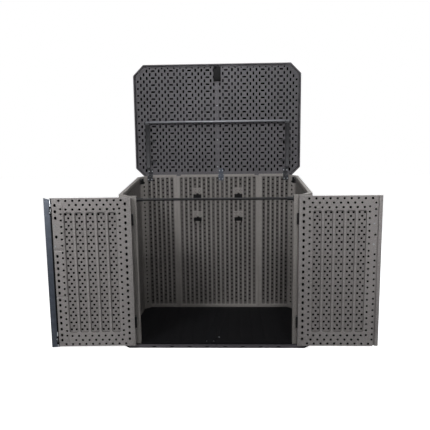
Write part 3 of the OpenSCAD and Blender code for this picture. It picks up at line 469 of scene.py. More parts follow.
# Pads for the double hooks: places, size round them, and their small wells' pitches and lowest row
HOOK_X = (-188, 188)
HOOK_Z = (1085, 871)
HOOK_PAD = (-46, -30, 46, 74)
HOOK_WELL_U = 18
HOOK_WELL_V = 13
HOOK_WELL_FROM = 20


def side_top(d):
    """Height of a side wall's top edge at depth d: it follows the closed lid's slope."""
    return REAR_H - SIDE_DROP + (d - (BODY_D - WALL_T)) * LID_PITCH


def rows(base, top):
    """Heights of the tack-offs in one channel of a wall."""
    count = int((top - LAND - base - FIRST_ROW) // ROW_PITCH) + 1
    return [base + FIRST_ROW + r * ROW_PITCH for r in range(count)]


def frame_of(across, up, out, origin):
    """A panel's plane: u across, v up, t out of its moulded face, from an origin, all in millimetres."""
    turn = Matrix((across, up, out)).transposed().to_4x4()
    return Matrix.Translation(origin) @ turn


def mirrored(on_right):
    """The mirror that makes a right hand piece of a left hand one, or the other way round."""
    return Matrix.Scale(-1, 4, (1, 0, 0)) if on_right else Matrix()


def hand_name(side):
    """The word for a side in the names of nodes and pieces."""
    return "left" if side < 0 else "right"


def outer_planks(bm, to, width, top_at):
    """Planks moulded into a panel's weather side, with soft grooves between them."""
    at, edges = 0.0, [0.0]
    while at + PLANK_PITCH < width - PLANK_PITCH / 2:
        at += PLANK_PITCH
        edges += [at - PLANK_GROOVE / 2, at + PLANK_GROOVE / 2]
    edges.append(width)
    for a, b in zip(edges[::2], edges[1::2]):
        plate(bm, to, corners((a, 0.0), (b, 0.0), (b, top_at(b)), (a, top_at(a))), PLANK + 0.6, 0.0, 1.1)


def ribbed_wall(bm, to, outline, columns, top_at, kinds=None):
    """A double-skin wall's moulded face: upright ribs, and tack-offs along the sunk channels between them."""
    mouths, before = [], len(bm.faces)
    for i, u in enumerate(columns):
        top = top_at(u)
        kind = kinds[i] if kinds else WALL_WELL
        places = [(u, v) for v in rows((i % 2) * ROW_PITCH / 2, top)]
        box = (u - CHANNEL_WIDE / 2, FOOT_LAND, u + CHANNEL_WIDE / 2, top - LAND)
        mouths.append(channel(bm, to, box, CHANNEL_ROUND, CHANNEL_DEEP, CHANNEL_SLOPE, {kind: places},
                              MATERIALS["wall_resin"]))
    # channel floors and sides take the channels' painted shade
    paint_channel_shade(list(bm.faces)[before:])
    sheet(bm, to, inset(outline, SOFT_EDGE), mouths, 0.0)
    panel_back(bm, to, outline, PLANK - WALL_T)


def hook_pad(bm, x, z):
    """A flat pad between the ribs, for one double hook, with a small grid of tack-offs over the hook."""
    to = frame_of((1, 0, 0), (0, 0, 1), (0, -1, 0), place(x, BODY_D - WALL_T, z))
    outline = rounded_box(*HOOK_PAD, 5.0)
    walls(bm, to, [(inset(outline, 1.5), 0.6), (inset(outline, 0.5), 0.2), (outline, -0.8),
                   (outline, -CHANNEL_DEEP - 0.5)])
    places = [((c + (r % 2) / 2 - 0.25) * HOOK_WELL_U, HOOK_WELL_FROM + r * HOOK_WELL_V)
              for r in range(4) for c in range(-2, 3)]
    pierced(bm, to, inset(outline, 1.5), {HOOK_WELL: places}, 0.6, MATERIALS["wall_resin"])


def rear_middle():
    """The middle rear panel, notched for the lid's centre bracket and at both seams."""
    bm = bmesh.new()
    w, h = REAR_MID - 2 * SEAM, REAR_H - WALL_LOW
    notch0, notch1 = w / 2 + CENTRE_NOTCH_X - NOTCH_HALF, w / 2 + CENTRE_NOTCH_X + NOTCH_HALF
    seam, seam_h = w / 2 - SEAM_NOTCH_X, h - SEAM_NOTCH_DEEP
    outline = corners((0, 0), (w, 0), (w, seam_h), (w - seam, seam_h), (w - seam, h),
                      (notch1, h), (notch1, h - NOTCH_DEEP), (notch0, h - NOTCH_DEEP), (notch0, h),
                      (seam, h), (seam, seam_h), (0, seam_h))
    to = frame_of((1, 0, 0), (0, 0, 1), (0, -1, 0), place(-w / 2, BODY_D - WALL_T, WALL_LOW))
    ribs = range(-MIDDLE_RIBS, MIDDLE_RIBS + 1)
    ribbed_wall(bm, to, outline, [w / 2 + i * RIB_PITCH for i in ribs], lambda u: h,
                [SMALL_WALL_WELL if abs(i) in SMALL_WELLS else WALL_WELL for i in ribs])
    outer_planks(bm, frame_of((1, 0, 0), (0, 0, 1), (0, 1, 0), place(-w / 2, BODY_D - PLANK, WALL_LOW)),
                 w, lambda u: h - NOTCH_DEEP - PLANK_STOP)
    for x in HOOK_X:
        for z in HOOK_Z:
            hook_pad(bm, x, z)
    return finished(bm, "rear_wall_panel", "wall_resin", ["rear_wall"], WALL_RESIN_AND_SHADES)


def rear_corner(side):
    """A rear corner panel: a ribbed rear part and the part that folds round the body's cut corner."""
    bm = bmesh.new()
    low, mirror = WALL_LOW, mirrored(side > 0)
    x_in = -HALF_W + REAR_CUT + FOLD_IN
    w, h = -REAR_MID / 2 - SEAM - x_in, REAR_H - low
    notch = SIDE_NOTCH_X + NOTCH_HALF - x_in
    outline = corners((0, 0), (w, 0), (w, h), (notch, h), (notch, h - NOTCH_DEEP), (0, h - NOTCH_DEEP))
    to = mirror @ frame_of((1, 0, 0), (0, 0, 1), (0, -1, 0), place(x_in, BODY_D - WALL_T, low))
    ribbed_wall(bm, to, outline, [CORNER_FIRST + i * RIB_PITCH for i in range(CORNER_RIBS)], lambda u: h)
    outer_planks(bm, mirror @ frame_of((1, 0, 0), (0, 0, 1), (0, 1, 0), place(x_in, BODY_D - PLANK, low)),
                 w, lambda u: h - NOTCH_DEEP - PLANK_STOP)
    # the folded part: an upright prism on this plan, with tack-offs down its inner face
    side_to = BODY_D - REAR_CUT - FOLD_IN
    inner = ((-HALF_W + WALL_T, side_to), (x_in + OVERLAP, BODY_D - WALL_T))
    plan = ((x_in + OVERLAP, BODY_D), (-HALF_W + REAR_CUT, BODY_D), (-HALF_W, BODY_D - REAR_CUT),
            (-HALF_W, side_to)) + inner
    foot = [bm.verts.new(mirror @ place(x, d, low)) for x, d in plan]
    head = [bm.verts.new(mirror @ place(x, d, side_top(d))) for x, d in plan]
    bm.faces.new(foot)
    bm.faces.new(list(reversed(head)))
    for i in range(len(plan)):
        j = (i + 1) % len(plan)
        if plan[i] != inner[0]:
            bm.faces.new((foot[i], foot[j], head[j], head[i]))
    (ax, ad), (bx, bd) = inner
    along = Vector((bx - ax, bd - ad, 0))
    run = along.length
    along.normalize()
    face = mirror @ frame_of(along, (0, 0, 1), (along.y, -along.x, 0), place(ax, ad, low))
    top = corners((0, 0), (run, 0), (run, side_top(bd) - low), (0, side_top(ad) - low))
    pierced(bm, face, top, {WALL_WELL: [(run / 2, v) for v in rows(0, side_top(ad) - low)]}, 0.0,
            MATERIALS["wall_resin"])
    name = hand_name(side)
    return finished(bm, "rear_corner_panel_" + name, "wall_resin", ["rear_corner_" + name], WALL_RESIN_AND_SHADES)


def side_wall(side):
    """A ribbed side wall, whose top slopes with the lid."""
    bm = bmesh.new()
    mirror = mirrored(side > 0)
    side_from, side_to = FRONT_CUT + FOLD_IN, BODY_D - REAR_CUT - FOLD_IN
    w = side_to - side_from - 2 * SEAM

    def top_at(u):
        """The top edge's height over the wall's foot."""
        return side_top(side_from + SEAM + u) - WALL_LOW

    outline = corners((0, 0), (w, 0), (w, top_at(w)), (0, top_at(0)))
    count = int((w - SIDE_LAND) // RIB_PITCH)
    first = (w - (count - 1) * RIB_PITCH) / 2
    to = mirror @ frame_of((0, 1, 0), (0, 0, 1), (1, 0, 0), place(-HALF_W + WALL_T, side_from + SEAM, WALL_LOW))
    ribbed_wall(bm, to, outline, [first + i * RIB_PITCH for i in range(count)],
                lambda u: top_at(u - RIB_PITCH / 2))
    outside = frame_of((0, 1, 0), (0, 0, 1), (-1, 0, 0), place(-HALF_W + PLANK, side_from + SEAM, WALL_LOW))
    outer_planks(bm, mirror @ outside, w, top_at)
    name = hand_name(side)
    return finished(bm, "side_wall_panel_" + name, "wall_resin", ["side_wall_" + name], WALL_RESIN_AND_SHADES)


# ---------------------------------------------------------------- doors
DOOR_HINGE_X = 602.5
DOOR_HINGE_D = -24
DOOR_W = 594.0
DOOR_H = 1122.5
DOOR_T = 30.0
DOOR_LOW = 31.5
DOOR_SWING = {-1: 177.8, 1: 179.6}
# The face's lower hinge corner, from the hinge's axis
FACE_FROM_HINGE = (6.5, 21, DOOR_LOW)
# The moulded inner face stops short of the stepped free edge; the right door's pattern sits nearer its hinge
FACE_W = {-1: 574.0, 1: 554.0}
PATTERN_SHIFT = {-1: 0, 1: -8}
REBATE_DEPTH = 20.0
DOOR_WELL = (0.0, 0.0, 8.6, 17.0)
SMALL_DOOR_WELL = (0.0, 0.0, 7.9, 15.0)
TALL_DOOR_WELL = (0.0, 2.6, 8.8, 17.0)
CHANNEL_WELL = (0.0, 0.0, 8.2, 11.0)
# Channels of the inner face, and the wells in them: pairs, and single ones half a row lower
DOOR_CHANNELS = 5
FIRST_CHANNEL = 139
DOOR_CHANNEL_PITCH = 79.8
DOOR_CHANNEL_HALF = 29.8
DOOR_CHANNEL_ENDS = (111, 107)
DOOR_CHANNEL_ROUND = 11.0
DOOR_CHANNEL_DEEP = 7.5
DOOR_CHANNEL_SLOPE = 2.3
PAIR_HALF = 18.3
PAIR_ROW = 54.4
TOP_PAIR = 120
LOWEST_WELL = 128
# Rows along the top and bottom edge: first well, distance from the edge, whether it shifts, last well
EDGE_ROWS = ((71, 19, 0, 523), (96, 50, 0, 480), (123, 83, 1, 504))
EDGE_PITCH = 50
# Columns along the upright edges, as distances down from the door's top
SIDE_ROW = 46.5
HINGE_COLUMN = [45 + SIDE_ROW * k for k in range(23)]
INNER_COLUMN = ([79] + [116 + SIDE_ROW * k for k in range(6)] + [401.5]
                + [116 + SIDE_ROW * k for k in range(7, 20)] + [1036])
LATCH_COLUMN = ([52, 98, 145, 283, 363] + [427 + SIDE_ROW * k for k in range(7)]
                + [759, 799, 845, 892, 938, 985, 1031, 1071])
# The columns' distances from the hinge edge, and the share of the right door's shift at its latch column
HINGE_COLUMN_U = 42
INNER_COLUMNS_U = (84, FACE_W[-1] - 64)
LATCH_COLUMN_U = FACE_W[-1] - 24
LATCH_SHIFT = 0.6
# The handle's two screws
HANDLE_U = {-1: 560.0, 1: 536.0}
HANDLE_V = (919.5, 769.5)
SCREW_CLEAR = 17
# The raised pads of the left door's latch edge, which take in the wells this far inside them
PAD_WIDE = 82
PAD_PITCH = DOOR_H * 0.315
PAD_GAP = 6
PAD_PROUD = 3.5
PAD_ROUND = 9.0
PAD_MARGIN = 12
# The right door's closing strip over its stepped edge: width and level
STRIP_WIDE = 26
STRIP_LEVEL = -4.0
# Planks of the weather side: how proud, and half of the groove between them
DOOR_PLANK = 3.0
DOOR_GROOVE_HALF = 3
# The runs of the dark strip of painted shade in the left door's rebate, between the bolt cases, and how thick
# it is
SHADE_STRIP_RUNS = ((3, 17), (85, DOOR_H - 125), (DOOR_H - 56, DOOR_H - 3))
SHADE_STRIP_PROUD = 3.5


def door_plane(side):
    """The door's own plane as it stands open: u from the hinge edge, v up, t out of the moulded inner face."""
    swing = Matrix.Rotation(math.radians(-DOOR_SWING[side]), 4, "Z")
    return (mirrored(side > 0) @ Matrix.Translation(place(-DOOR_HINGE_X, DOOR_HINGE_D, 0)) @ swing
            @ Matrix.Translation(FACE_FROM_HINGE) @ Matrix.Rotation(math.radians(90), 4, "X")
            @ Matrix.Scale(-1, 4, (0, 0, 1)))


def door_tacks(side):
    """Where the tack-offs round a door's channels lie, by kind."""
    tacks = {DOOR_WELL: [], SMALL_DOOR_WELL: [], TALL_DOOR_WELL: []}
    shift = PATTERN_SHIFT[side]
    for first, v, moves, last in EDGE_ROWS:
        for u in range(first + shift * moves, last + shift * moves + 1, EDGE_PITCH):
            tacks[DOOR_WELL] += [(u, v), (u, DOOR_H - v)]
    tacks[TALL_DOOR_WELL] += [(HINGE_COLUMN_U + shift, DOOR_H - v) for v in HINGE_COLUMN]
    latch_u = LATCH_COLUMN_U + shift * LATCH_SHIFT
    tacks[TALL_DOOR_WELL if side < 0 else SMALL_DOOR_WELL] += [(latch_u, DOOR_H - v) for v in LATCH_COLUMN]
    for u in INNER_COLUMNS_U:
        tacks[SMALL_DOOR_WELL] += [(u + shift, DOOR_H - v) for v in INNER_COLUMN]

    def free(u, v):
        """Whether a place is clear of the handle's screws."""
        return all((u - HANDLE_U[side]) ** 2 + (v - screw) ** 2 > SCREW_CLEAR ** 2 for screw in HANDLE_V)

    return {kind: [p for p in places if free(*p)] for kind, places in tacks.items()}


def door_channel(bm, to, u):
    """One sunk channel of a door, with its pattern of wells. Returns its mouth."""
    pattern = []
    for r in range(int((DOOR_H - TOP_PAIR - LOWEST_WELL) // PAIR_ROW) + 1):
        v = DOOR_H - TOP_PAIR - r * PAIR_ROW
        pattern += [(u - PAIR_HALF, v), (u + PAIR_HALF, v)]
        if v - PAIR_ROW / 2 > LOWEST_WELL:
            pattern.append((u, v - PAIR_ROW / 2))
    low, high = DOOR_CHANNEL_ENDS
    box = (u - DOOR_CHANNEL_HALF, low, u + DOOR_CHANNEL_HALF, DOOR_H - high)
    # a door channel's sloping sides take the darker painted shade of the walls' channels
    return channel(bm, to, box, DOOR_CHANNEL_ROUND, DOOR_CHANNEL_DEEP, DOOR_CHANNEL_SLOPE,
                   {CHANNEL_WELL: pattern}, MATERIALS["door_resin"], CHANNEL_SIDE)


def door(side):
    """A double-skin door: channels and tack-offs inside, planks outside, and its own stepped free edge."""
    bm = bmesh.new()
    to = door_plane(side)
    face, shift = FACE_W[side], PATTERN_SHIFT[side]
    outline = corners((0, 0), (face, 0), (face, DOOR_H), (0, DOOR_H))
    back = DOOR_PLANK - DOOR_T
    mouths = [door_channel(bm, to, FIRST_CHANNEL + c * DOOR_CHANNEL_PITCH + shift)
              for c in range(DOOR_CHANNELS)]
    # door channel floors take their lighter painted shade
    paint_channel_shade(bm.faces)
    tacks = door_tacks(side)
    pierced(bm, to, inset(outline, SOFT_EDGE), tacks, 0.0, MATERIALS["door_resin"], mouths)
    panel_back(bm, to, outline, back)
    plate(bm, to, corners((face - 2, 0), (DOOR_W, 0), (DOOR_W, DOOR_H), (face - 2, DOOR_H)),
          -REBATE_DEPTH, back, 1.0)
    if side < 0:
        for i in (-1, 0, 1):
            low = DOOR_H / 2 + (i - 0.5) * PAD_PITCH + PAD_GAP / 2
            raised_pad(bm, to, (face - PAD_WIDE, low, face, low + PAD_PITCH - PAD_GAP), tacks)
    else:
        strip = DOOR_W - STRIP_WIDE
        plate(bm, to, corners((strip, 0), (DOOR_W, 0), (DOOR_W, DOOR_H), (strip, DOOR_H)),
              STRIP_LEVEL, -REBATE_DEPTH - 1, 1.5)
    outside = to @ Matrix.Translation((0, 0, back)) @ Matrix.Scale(-1, 4, (0, 0, 1))
    grooves = [FIRST_CHANNEL + (c - 0.5) * DOOR_CHANNEL_PITCH + shift for c in range(DOOR_CHANNELS + 1)]
    edges = [0.0] + [u + way * DOOR_GROOVE_HALF for u in grooves for way in (-1, 1)] + [DOOR_W]
    for a, b in zip(edges[::2], edges[1::2]):
        plate(bm, outside, corners((a, 0), (b, 0), (b, DOOR_H), (a, DOOR_H)), DOOR_PLANK, -0.6, 1.3)
    name = hand_name(side)
    return finished(bm, "door_panel_" + name, "door_resin", ["door_" + name], DOOR_RESIN_AND_SHADES)


def raised_pad(bm, to, box, tacks):
    """A low pad round a door's tack-offs: its soft rim and top, pierced over the wells of the face under it."""
    rings = [(rounded_box(*box, PAD_ROUND), 0.02), (rounded_box(*box, PAD_ROUND, -2.6), PAD_PROUD * 0.8),
             (rounded_box(*box, PAD_ROUND, -4.0), PAD_PROUD)]
    walls(bm, to, rings)
    low, high = box[1] + PAD_MARGIN, box[3] - PAD_MARGIN
    holes = [stadium(u, v, kind, LIP + 0.4) for kind, places in tacks.items() for u, v in places
             if box[0] + PAD_MARGIN < u < box[2] - PAD_MARGIN and low < v < high]
    screws = [stadium(HANDLE_U[-1], v, (0, 0, 7.0, 1)) for v in HANDLE_V if low < v < high]
    sheet(bm, to, rings[-1][0], holes + screws, PAD_PROUD)
    for hole in holes:
        walls(bm, to, [(hole, PAD_PROUD), (hole, 0.02)])


def free_edge_seal():
    """A dark strip in the left door's rebate, between and beyond the bolt cases: painted shade for its deep
    groove.
    """
    bm = bmesh.new()
    to = door_plane(-1)
    u0, u1 = FACE_W[-1] + 0.8, DOOR_W - 0.8
    for v0, v1 in SHADE_STRIP_RUNS:
        plate(bm, to, corners((u0, v0), (u1, v0), (u1, v1), (u0, v1)), SHADE_STRIP_PROUD - REBATE_DEPTH,
              -REBATE_DEPTH - 0.2, 1.0)
    return finished(bm, "free_edge_seal", "black_resin", [], [MATERIALS["black_resin"]], body="left_door")


# ---------------------------------------------------------------- lid
# The lid in its own plane: half width, reach from its hinge line to its front and tail, thickness, cut
# corners, half of the joint between its halves; then its hinge line's depth and height, and how far behind
# that line its deck stands upright
LID_HALF = 750.0
LID_FRONT = 984.0
LID_TAIL = 27.5
LID_T = 25.0
LID_CUT = 90.0
LID_SEAM = 0.15
LID_AXIS_D = 935.0
LID_AXIS_Z = 1277.448
DECK_BEHIND = 9.9
LID_DASH = (9.5, 0.0, 7.8, 13.5)
LID_TALL = (0.0, 6.6, 8.1, 13.5)
LID_ROUND = (0.0, 0.0, 9.0, 13.5)
LID_SMALL = (0.0, 0.0, 6.9, 13.5)
# Under the strike's bore: takes the tip of the raised bolt
BOLT_BORE = (0.0, 0.0, 8.0, 17.0)
BOLT_PLACE = (12.0, 947.2)
# The lattice of tack-offs: columns across, rows down, the first of each kind of column, and the front row
LATTICE_U = 27.38
LATTICE_V = 61.2
LATTICE_COLUMNS = 26
LATTICE_ROWS = 15
ODD_FROM = 929.8
EVEN_FROM = 899.2
FRONT_ROW = 951.0
CUT_MARGIN = 45.0
# Insets of the rim's inner side and of the ridge within it, and the groove between them
RIM_IN = 13.0
RIDGE_IN = 17.0
RIDGE_OUT = 24.5
RIDGE_HIGH = 6
GROOVE = -5
# How high the rim stands along the tail, the sides and the front
TAIL_RIM, SIDE_RIM, FRONT_RIM = 17, 24, 6
# Where the ridge stops on each half of the lid: for the centre and outer hinges, and for half of the strike
HINGE_GAPS = {-1: [(590.0, 640.0)], 1: [(3.0, 59.0), (590.0, 640.0)]}
STRIKE_HALF = {-1: 30.8, 1: 36.8}
# Shallow panels moulded into the lid's weather side: number, first edge, pitch, width, ends and corners
TOP_PANELS = 4
TOP_PANEL_FROM = 26
TOP_PANEL_PITCH = 165
TOP_PANEL_WIDE = 135
TOP_PANEL_ENDS = (30, LID_FRONT - 60)
TOP_PANEL_ROUND = 10.0
TOP_PANEL_STEPS = ((2.0, 0.0), (0.0, -0.8), (-2.0, -2.6), (-3.5, -3.0))
# Insets of the bar that crosses each cut corner inside
BAR_NEAR, BAR_FAR = 31, 38


def lid_outline(depth):
    """Half of the lid's outline, moved inwards by depth."""
    w, low, high = LID_HALF - depth, -LID_TAIL + depth, LID_FRONT - depth
    c = LID_CUT - depth * (2 - math.sqrt(2))
    return corners((LID_SEAM, low), (w - c, low), (w, low + c), (w, high - c), (w - c, high), (LID_SEAM, high))


def clear_of_cuts(u, v):
    """Whether a place on the lid keeps its margin from the cut corners."""
    reach = LID_HALF - LID_CUT - CUT_MARGIN * math.sqrt(2)
    return u + v < LID_FRONT + reach and u - v < LID_TAIL + reach


def lid_tacks(side):
    """Where the tack-offs of half of the lid lie, by kind."""
    tacks = {LID_DASH: [], LID_TALL: [], LID_ROUND: [],
             LID_SMALL: [(k * LATTICE_U, FRONT_ROW) for k in range(2, 23, 2)]}
    for k in range(1, LATTICE_COLUMNS + 1):
        kind = LID_DASH if k % 6 == 3 else LID_ROUND if k == LATTICE_COLUMNS else LID_TALL
        for r in range(LATTICE_ROWS):
            u, v = k * LATTICE_U, (ODD_FROM if k % 2 else EVEN_FROM) - r * LATTICE_V
            if clear_of_cuts(u, v):
                tacks[kind].append((u, v))
    if side < 0:
        tacks[BOLT_BORE] = [BOLT_PLACE]
    return tacks


def lid_ring(side, depth):
    """The outline at one inset, with the rim's height and the ridge's presence at every point."""
    w, low, high = LID_HALF - depth, -LID_TAIL + depth, LID_FRONT - depth
    c = LID_CUT - depth * (2 - math.sqrt(2))
    strike = STRIKE_HALF[side]
    points = [(LID_SEAM, low, TAIL_RIM, 1)]
    for a, b in HINGE_GAPS[side]:
        points += [(a - 0.4, low, TAIL_RIM, 1), (a, low, TAIL_RIM, 0), (min(b, w - c - 1), low, TAIL_RIM, 0)]
        points += [(b + 0.4, low, TAIL_RIM, 1)] if b < LID_HALF / 2 else []
    return points + [(w - c, low, TAIL_RIM, 0), (w - c + 1.5, low + 1.5, TAIL_RIM, 1),
                     (w, low + c, TAIL_RIM, 1), (w, low + c + 7, SIDE_RIM, 1),
                     (w, high - c - 7, SIDE_RIM, 1), (w, high - c, FRONT_RIM, 1),
                     (w - c, high, FRONT_RIM, 1), (strike + 0.4, high, FRONT_RIM, 1),
                     (strike, high, FRONT_RIM, 0), (LID_SEAM, high, FRONT_RIM, 0)]


# From the ridge outwards and round to the weather side: inset, shares of the rim's and of the ridge's
# height, and level
LID_PROFILE = ((RIDGE_OUT, 0, 0, 0), (RIDGE_OUT - 0.8, 0, 0.8, 0), (RIDGE_OUT - 2, 0, 1, 0),
               (RIDGE_IN + 2, 0, 1, 0), (RIDGE_IN + 0.8, 0, 0.8, 0), (RIDGE_IN, 0, 0, GROOVE),
               (RIM_IN, 0, 0, GROOVE), (RIM_IN - 1, 0.5, 0, 0), (RIM_IN - 1.4, 1, 0, -1.6),
               (RIM_IN - 3, 1, 0, 0), (3.4, 1, 0, 0), (1.2, 1, 0, -1), (0.2, 1, 0, -4), (0, 0, 0, -2),
               (0, 0, 0, -15), (0.8, 0, 0, -18.5), (6.5, 0, 0, -24.2), (9.0, 0, 0, -LID_T))


def lid_half(side):
    """Half of the lid: a tacked deck, an inner ridge that stops for hinges and strike, and a stepped rim."""
    bm = bmesh.new()
    origin = place(0, LID_AXIS_D + DECK_BEHIND, LID_AXIS_Z)
    to = mirrored(side < 0) @ frame_of((1, 0, 0), (0, 0, 1), (0, -1, 0), origin)
    pierced(bm, to, lid_outline(RIDGE_OUT), lid_tacks(side), 0.0, MATERIALS["lid_resin"])
    above, ends = None, []
    for depth, of_rim, of_ridge, level in LID_PROFILE:
        here = [bm.verts.new(to @ Vector((u, v, rim * of_rim + ridge * of_ridge * RIDGE_HIGH + level)))
                for u, v, rim, ridge in lid_ring(side, depth)]
        for i in range(len(here) - 1 if above else 0):
            face = bm.faces.new((above[i], above[i + 1], here[i + 1], here[i]))
            # the groove between rim and ridge takes the wells' near-black painted shade
            face.material_index = WELL if level == GROOVE else PLAIN
        ends.append((here[0], here[-1]))
        above = here
    bm.faces.new([e[0] for e in ends] + [e[1] for e in reversed(ends)])
    under = to @ Matrix.Translation((0, 0, -LID_T)) @ Matrix.Scale(-1, 4, (0, 0, 1))
    mouths = []
    for i in range(TOP_PANELS):
        near = TOP_PANEL_FROM + i * TOP_PANEL_PITCH
        box = (near, TOP_PANEL_ENDS[0], near + TOP_PANEL_WIDE, TOP_PANEL_ENDS[1])
        steps = [(rounded_box(*box, TOP_PANEL_ROUND, grow), level) for grow, level in TOP_PANEL_STEPS]
        walls(bm, under, steps)
        sheet(bm, under, steps[-1][0], [], steps[-1][1])
        mouths.append(steps[0][0])
    for reach, up in ((LID_FRONT, 1), (LID_TAIL, -1)):
        total, near, far = LID_HALF + reach - LID_CUT, LID_HALF - BAR_FAR, reach - BAR_FAR
        a, b = total - BAR_NEAR * math.sqrt(2), total - BAR_FAR * math.sqrt(2)
        bar = [(u, v * up) for u, v in ((near, a - near), (a - far, far), (b - far, far), (near, b - near))]
        plate(bm, to, corners(*(bar if up > 0 else reversed(bar))), 5.0, -0.5, 1.6)
    sheet(bm, under, corners(*((u, v) for u, v, _, _ in lid_ring(side, LID_PROFILE[-1][0]))), mouths, 0.0)
    name = hand_name(side)
    return finished(bm, "lid_panel_" + name, "lid_resin", ["lid_" + name], LID_RESIN_AND_SHADES)


# ---------------------------------------------------------------- plain parts with rounded edges
def hook_knob(bm):
    """The pressed knob over a double hook's bar, where its plate is clipped into the pad."""
    middle = (min(v.co.x for v in bm.verts) + max(v.co.x for v in bm.verts)) / 2
    top = max(v.co.z for v in bm.verts)
    to = Matrix.Translation((middle, BODY_D / 2 - WALL_T, top)) @ Matrix.Rotation(math.radians(90), 4, "X")
    plate(bm, to, corners((-12, -4), (12, -4), (7, 11), (-7, 11)), 7.0, -0.5, 1.5)


def softened(node, width):
    """Stands for a plain CAD node, with its edges rounded as moulded and pressed parts have them."""
    bm = bmesh.new()
    bm.from_mesh(NODES[node].data)
    bmesh.ops.remove_doubles(bm, verts=bm.verts, dist=1e-6)
    bmesh.ops.dissolve_limit(bm, angle_limit=math.radians(FLAT_TO), verts=bm.verts, edges=bm.edges)
    edges = [e for e in bm.edges if len(e.link_faces) == 2 and e.calc_face_angle(0.0) > math.radians(BENT_FROM)]
    bmesh.ops.bevel(bm, geom=edges, offset=width * MM, offset_type="OFFSET", segments=2, profile=0.5,
                    affect="EDGES", clamp_overlap=True)
    bmesh.ops.scale(bm, vec=(1 / MM, 1 / MM, 1 / MM), verts=bm.verts)
    if node.startswith("hook"):
        hook_knob(bm)
    slot_name = SLOT_OF[node]
    return finished(bm, node + "_moulded", slot_name, [node], [MATERIALS[LOOK_OF.get(node, slot_name)]])


# Degrees: faces flatter than the first are joined, and edges sharper than the second are rounded
FLAT_TO = 1.0
BENT_FROM = 30
# Nodes whose powder coat differs from the rest of their slot
LOOK_OF = {"lid_cross_tube": "tube_steel", "lid_bracket_left": "graphite_steel",
           "lid_bracket_right": "graphite_steel", "lid_leaf_left": "graphite_steel",
           "lid_leaf_right": "graphite_steel"}
# Width of the rounding, and the nodes that get it
SOFT = {
    2.2: ("front_post_left", "front_post_right"),
    1.4: ("floor_left", "floor_right"),
    1.0: ("hook_upper_left", "hook_upper_right", "hook_lower_left", "hook_lower_right", "handle_left",
          "handle_right", "lid_strike"),
    0.6: ("corner_bracket_left", "corner_bracket_right", "header_socket_left", "header_socket_right",
          "lid_arm_left", "lid_arm_right", "lid_arm_clips", "lid_seam_strip", "bolt_case_upper",
          "bolt_case_lower"),
    0.35: ("header_tube", "lid_cross_tube", "astragal", "lid_leaf_left", "lid_leaf_centre", "lid_leaf_right",
           "lid_bracket_left", "lid_bracket_centre", "lid_bracket_right", "corner_screws", "lid_screws",
           "lid_hinge_pins", "bracket_bolts", "handle_screws_left", "handle_screws_right", "floor_screws",
           "door_bolt_upper", "door_bolt_lower", "door_pins_left", "door_pins_right")
          + tuple(kind + "_leaf_" + level + "_" + hand for kind in ("post", "door")
                  for level in ("upper", "lower") for hand in ("left", "right")),
}

rear_middle()
for hand in (-1, 1):
    rear_corner(hand)
    side_wall(hand)
    door(hand)
    lid_half(hand)
# the dark strip of painted shade in the left door's rebate
free_edge_seal()
for width, nodes in SOFT.items():
    for node in nodes:
        softened(node, width)
for shape in TACK_SHAPES.values():
    bpy.data.objects.remove(shape)


# ---------------------------------------------------------------- the room
# Half the floor's side, in metres, and what it and the sky shine with
FLOOR_REACH = 30.0
FLOOR_GLOW = 0.93
SKY_LIGHT = 0.095
WHITE = (1.0, 1.0, 1.0, 1.0)
# The photograph's view from a fit of thirty measured points: turn, tilt and roll in degrees, place, focal
# length and height of the picture's true middle in pixels of the photograph
VIEW_ANGLES = (-1.9095, -8.0023, -0.6614)
VIEW_PLACE = (116.6, -3470.3, 1434.5)
FOCAL_PIXELS = 477.365
MIDDLE_PIXEL = 224.456
PHOTO_PIXELS = 430
SENSOR = 36.0


def stage_floor():
    """A pale floor that reads white to the camera and still takes the shed's shadow."""
    material, tree = blank("pale_studio_floor")
    diffuse = add(tree, "ShaderNodeBsdfDiffuse", Color=srgb("#f2f2f2"))
    glow = add(tree, "ShaderNodeEmission", Color=WHITE, Strength=FLOOR_GLOW)
    lit = add(tree, "ShaderNodeAddShader", _0=diffuse.outputs[0], _1=glow.outputs[0])
    rays = add(tree, "ShaderNodeLightPath")
    mixed = add(tree, "ShaderNodeMixShader", _0=rays.outputs["Is Camera Ray"], _1=diffuse.outputs[0],
                _2=lit.outputs[0])
    add(tree, "ShaderNodeOutputMaterial", Surface=mixed.outputs[0])
    mesh = bpy.data.meshes.new("studio_floor")
    mesh.from_pydata([(x * FLOOR_REACH, y * FLOOR_REACH, 0) for x, y in ((-1, -1), (1, -1), (1, 1), (-1, 1))],
                     [], [(0, 1, 2, 3)])
    mesh.materials.append(material)
    floor = bpy.data.objects.new("studio_floor", mesh)
    bpy.context.scene.collection.objects.link(floor)


def sky():
    """Even studio light; white where the camera, a gloss or a clear ray meets it."""
    world = bpy.data.worlds.new("studio")
    bpy.context.scene.world = world
    world.use_nodes = True
    tree = world.node_tree
    tree.nodes.clear()
    rays = add(tree, "ShaderNodeLightPath")
    first = add(tree, "ShaderNodeMath", {"operation": "MAXIMUM"},
                _0=rays.outputs["Is Camera Ray"], _1=rays.outputs["Is Glossy Ray"])
    shown = add(tree, "ShaderNodeMath", {"operation": "MAXIMUM"},
                _0=first.outputs[0], _1=rays.outputs["Is Transmission Ray"])
    level = add(tree, "ShaderNodeMapRange", Value=shown.outputs[0], To_Min=SKY_LIGHT, To_Max=1.0)
    back = add(tree, "ShaderNodeBackground", Color=WHITE, Strength=level.outputs["Result"])
    add(tree, "ShaderNodeOutputWorld", Surface=back.outputs[0])


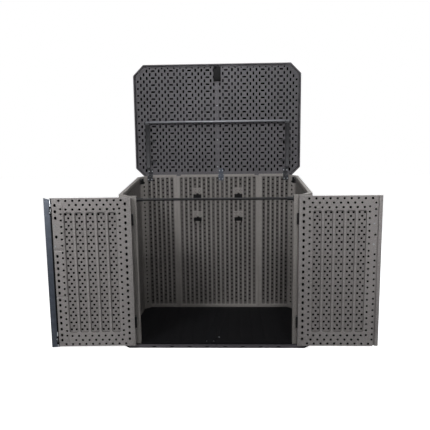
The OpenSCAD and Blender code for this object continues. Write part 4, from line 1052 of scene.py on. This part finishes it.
def softbox(name, place_at, aim, width, height, watts, spread=180.0):
    """An area light; a spread under 180 degrees is a grid on its front that keeps its light narrow."""
    light = bpy.data.lights.new(name, "AREA")
    light.spread = math.radians(spread)
    light.shape, light.size, light.size_y, light.energy = "RECTANGLE", width, height, watts
    lamp = bpy.data.objects.new(name, light)
    lamp.location = place_at
    lamp.rotation_euler = (Vector(aim) - Vector(place_at)).to_track_quat("-Z", "Y").to_euler()
    bpy.context.scene.collection.objects.link(lamp)


def camera():
    """The photograph's view."""
    yaw, pitch, roll = (math.radians(a) for a in VIEW_ANGLES)
    ahead = Vector((math.sin(yaw) * math.cos(pitch), math.cos(yaw) * math.cos(pitch), math.sin(pitch)))
    right = ahead.cross(Vector((0, 0, 1))).normalized()
    up = right.cross(ahead)
    right, up = (right * math.cos(roll) + up * math.sin(roll), -right * math.sin(roll) + up * math.cos(roll))
    lens = bpy.data.cameras.new("photo_view")
    lens.sensor_width = SENSOR
    lens.lens = FOCAL_PIXELS / PHOTO_PIXELS * SENSOR
    lens.shift_y = (MIDDLE_PIXEL - PHOTO_PIXELS / 2) / PHOTO_PIXELS
    lens.clip_end = 200
    eye = bpy.data.objects.new("photo_view", lens)
    turn = Matrix((right, up, -ahead)).transposed().to_4x4()
    eye.matrix_world = Matrix.Translation(place(*VIEW_PLACE) * MM) @ turn
    bpy.context.scene.collection.objects.link(eye)
    bpy.context.scene.camera = eye


stage_floor()
sky()
# Place, aim and size in metres, watts, and the spread of the ones with a grid in degrees
softbox("left_key", (-2.2, -2.9, 3.1), (-1.12, -0.5, 0.8), 0.8, 0.8, 5.1, 40)
softbox("right_key", (0.95, -3.2, 3.0), (1.2, -0.5, 0.85), 0.8, 0.8, 3.6, 40)
softbox("left_fill", (-2.6, -2.3, 1.9), (0.6, 0.1, 0.75), 1.8, 1.6, 0.6, 50)
softbox("overhead_softbox", (0, -1.2, 4.4), (0, 0.1, 1.0), 2.4, 1.4, 25)
softbox("top_grid", (0, -3.5, 3.5), (0, 0.55, 2.0), 1.4, 0.5, 8.6, 48)
softbox("rear_softbox", (1.6, 4.6, 3.4), (0, 0.4, 0.8), 2.6, 1.8, 60)
camera()
bpy.context.scene.view_settings.view_transform = "Standard"
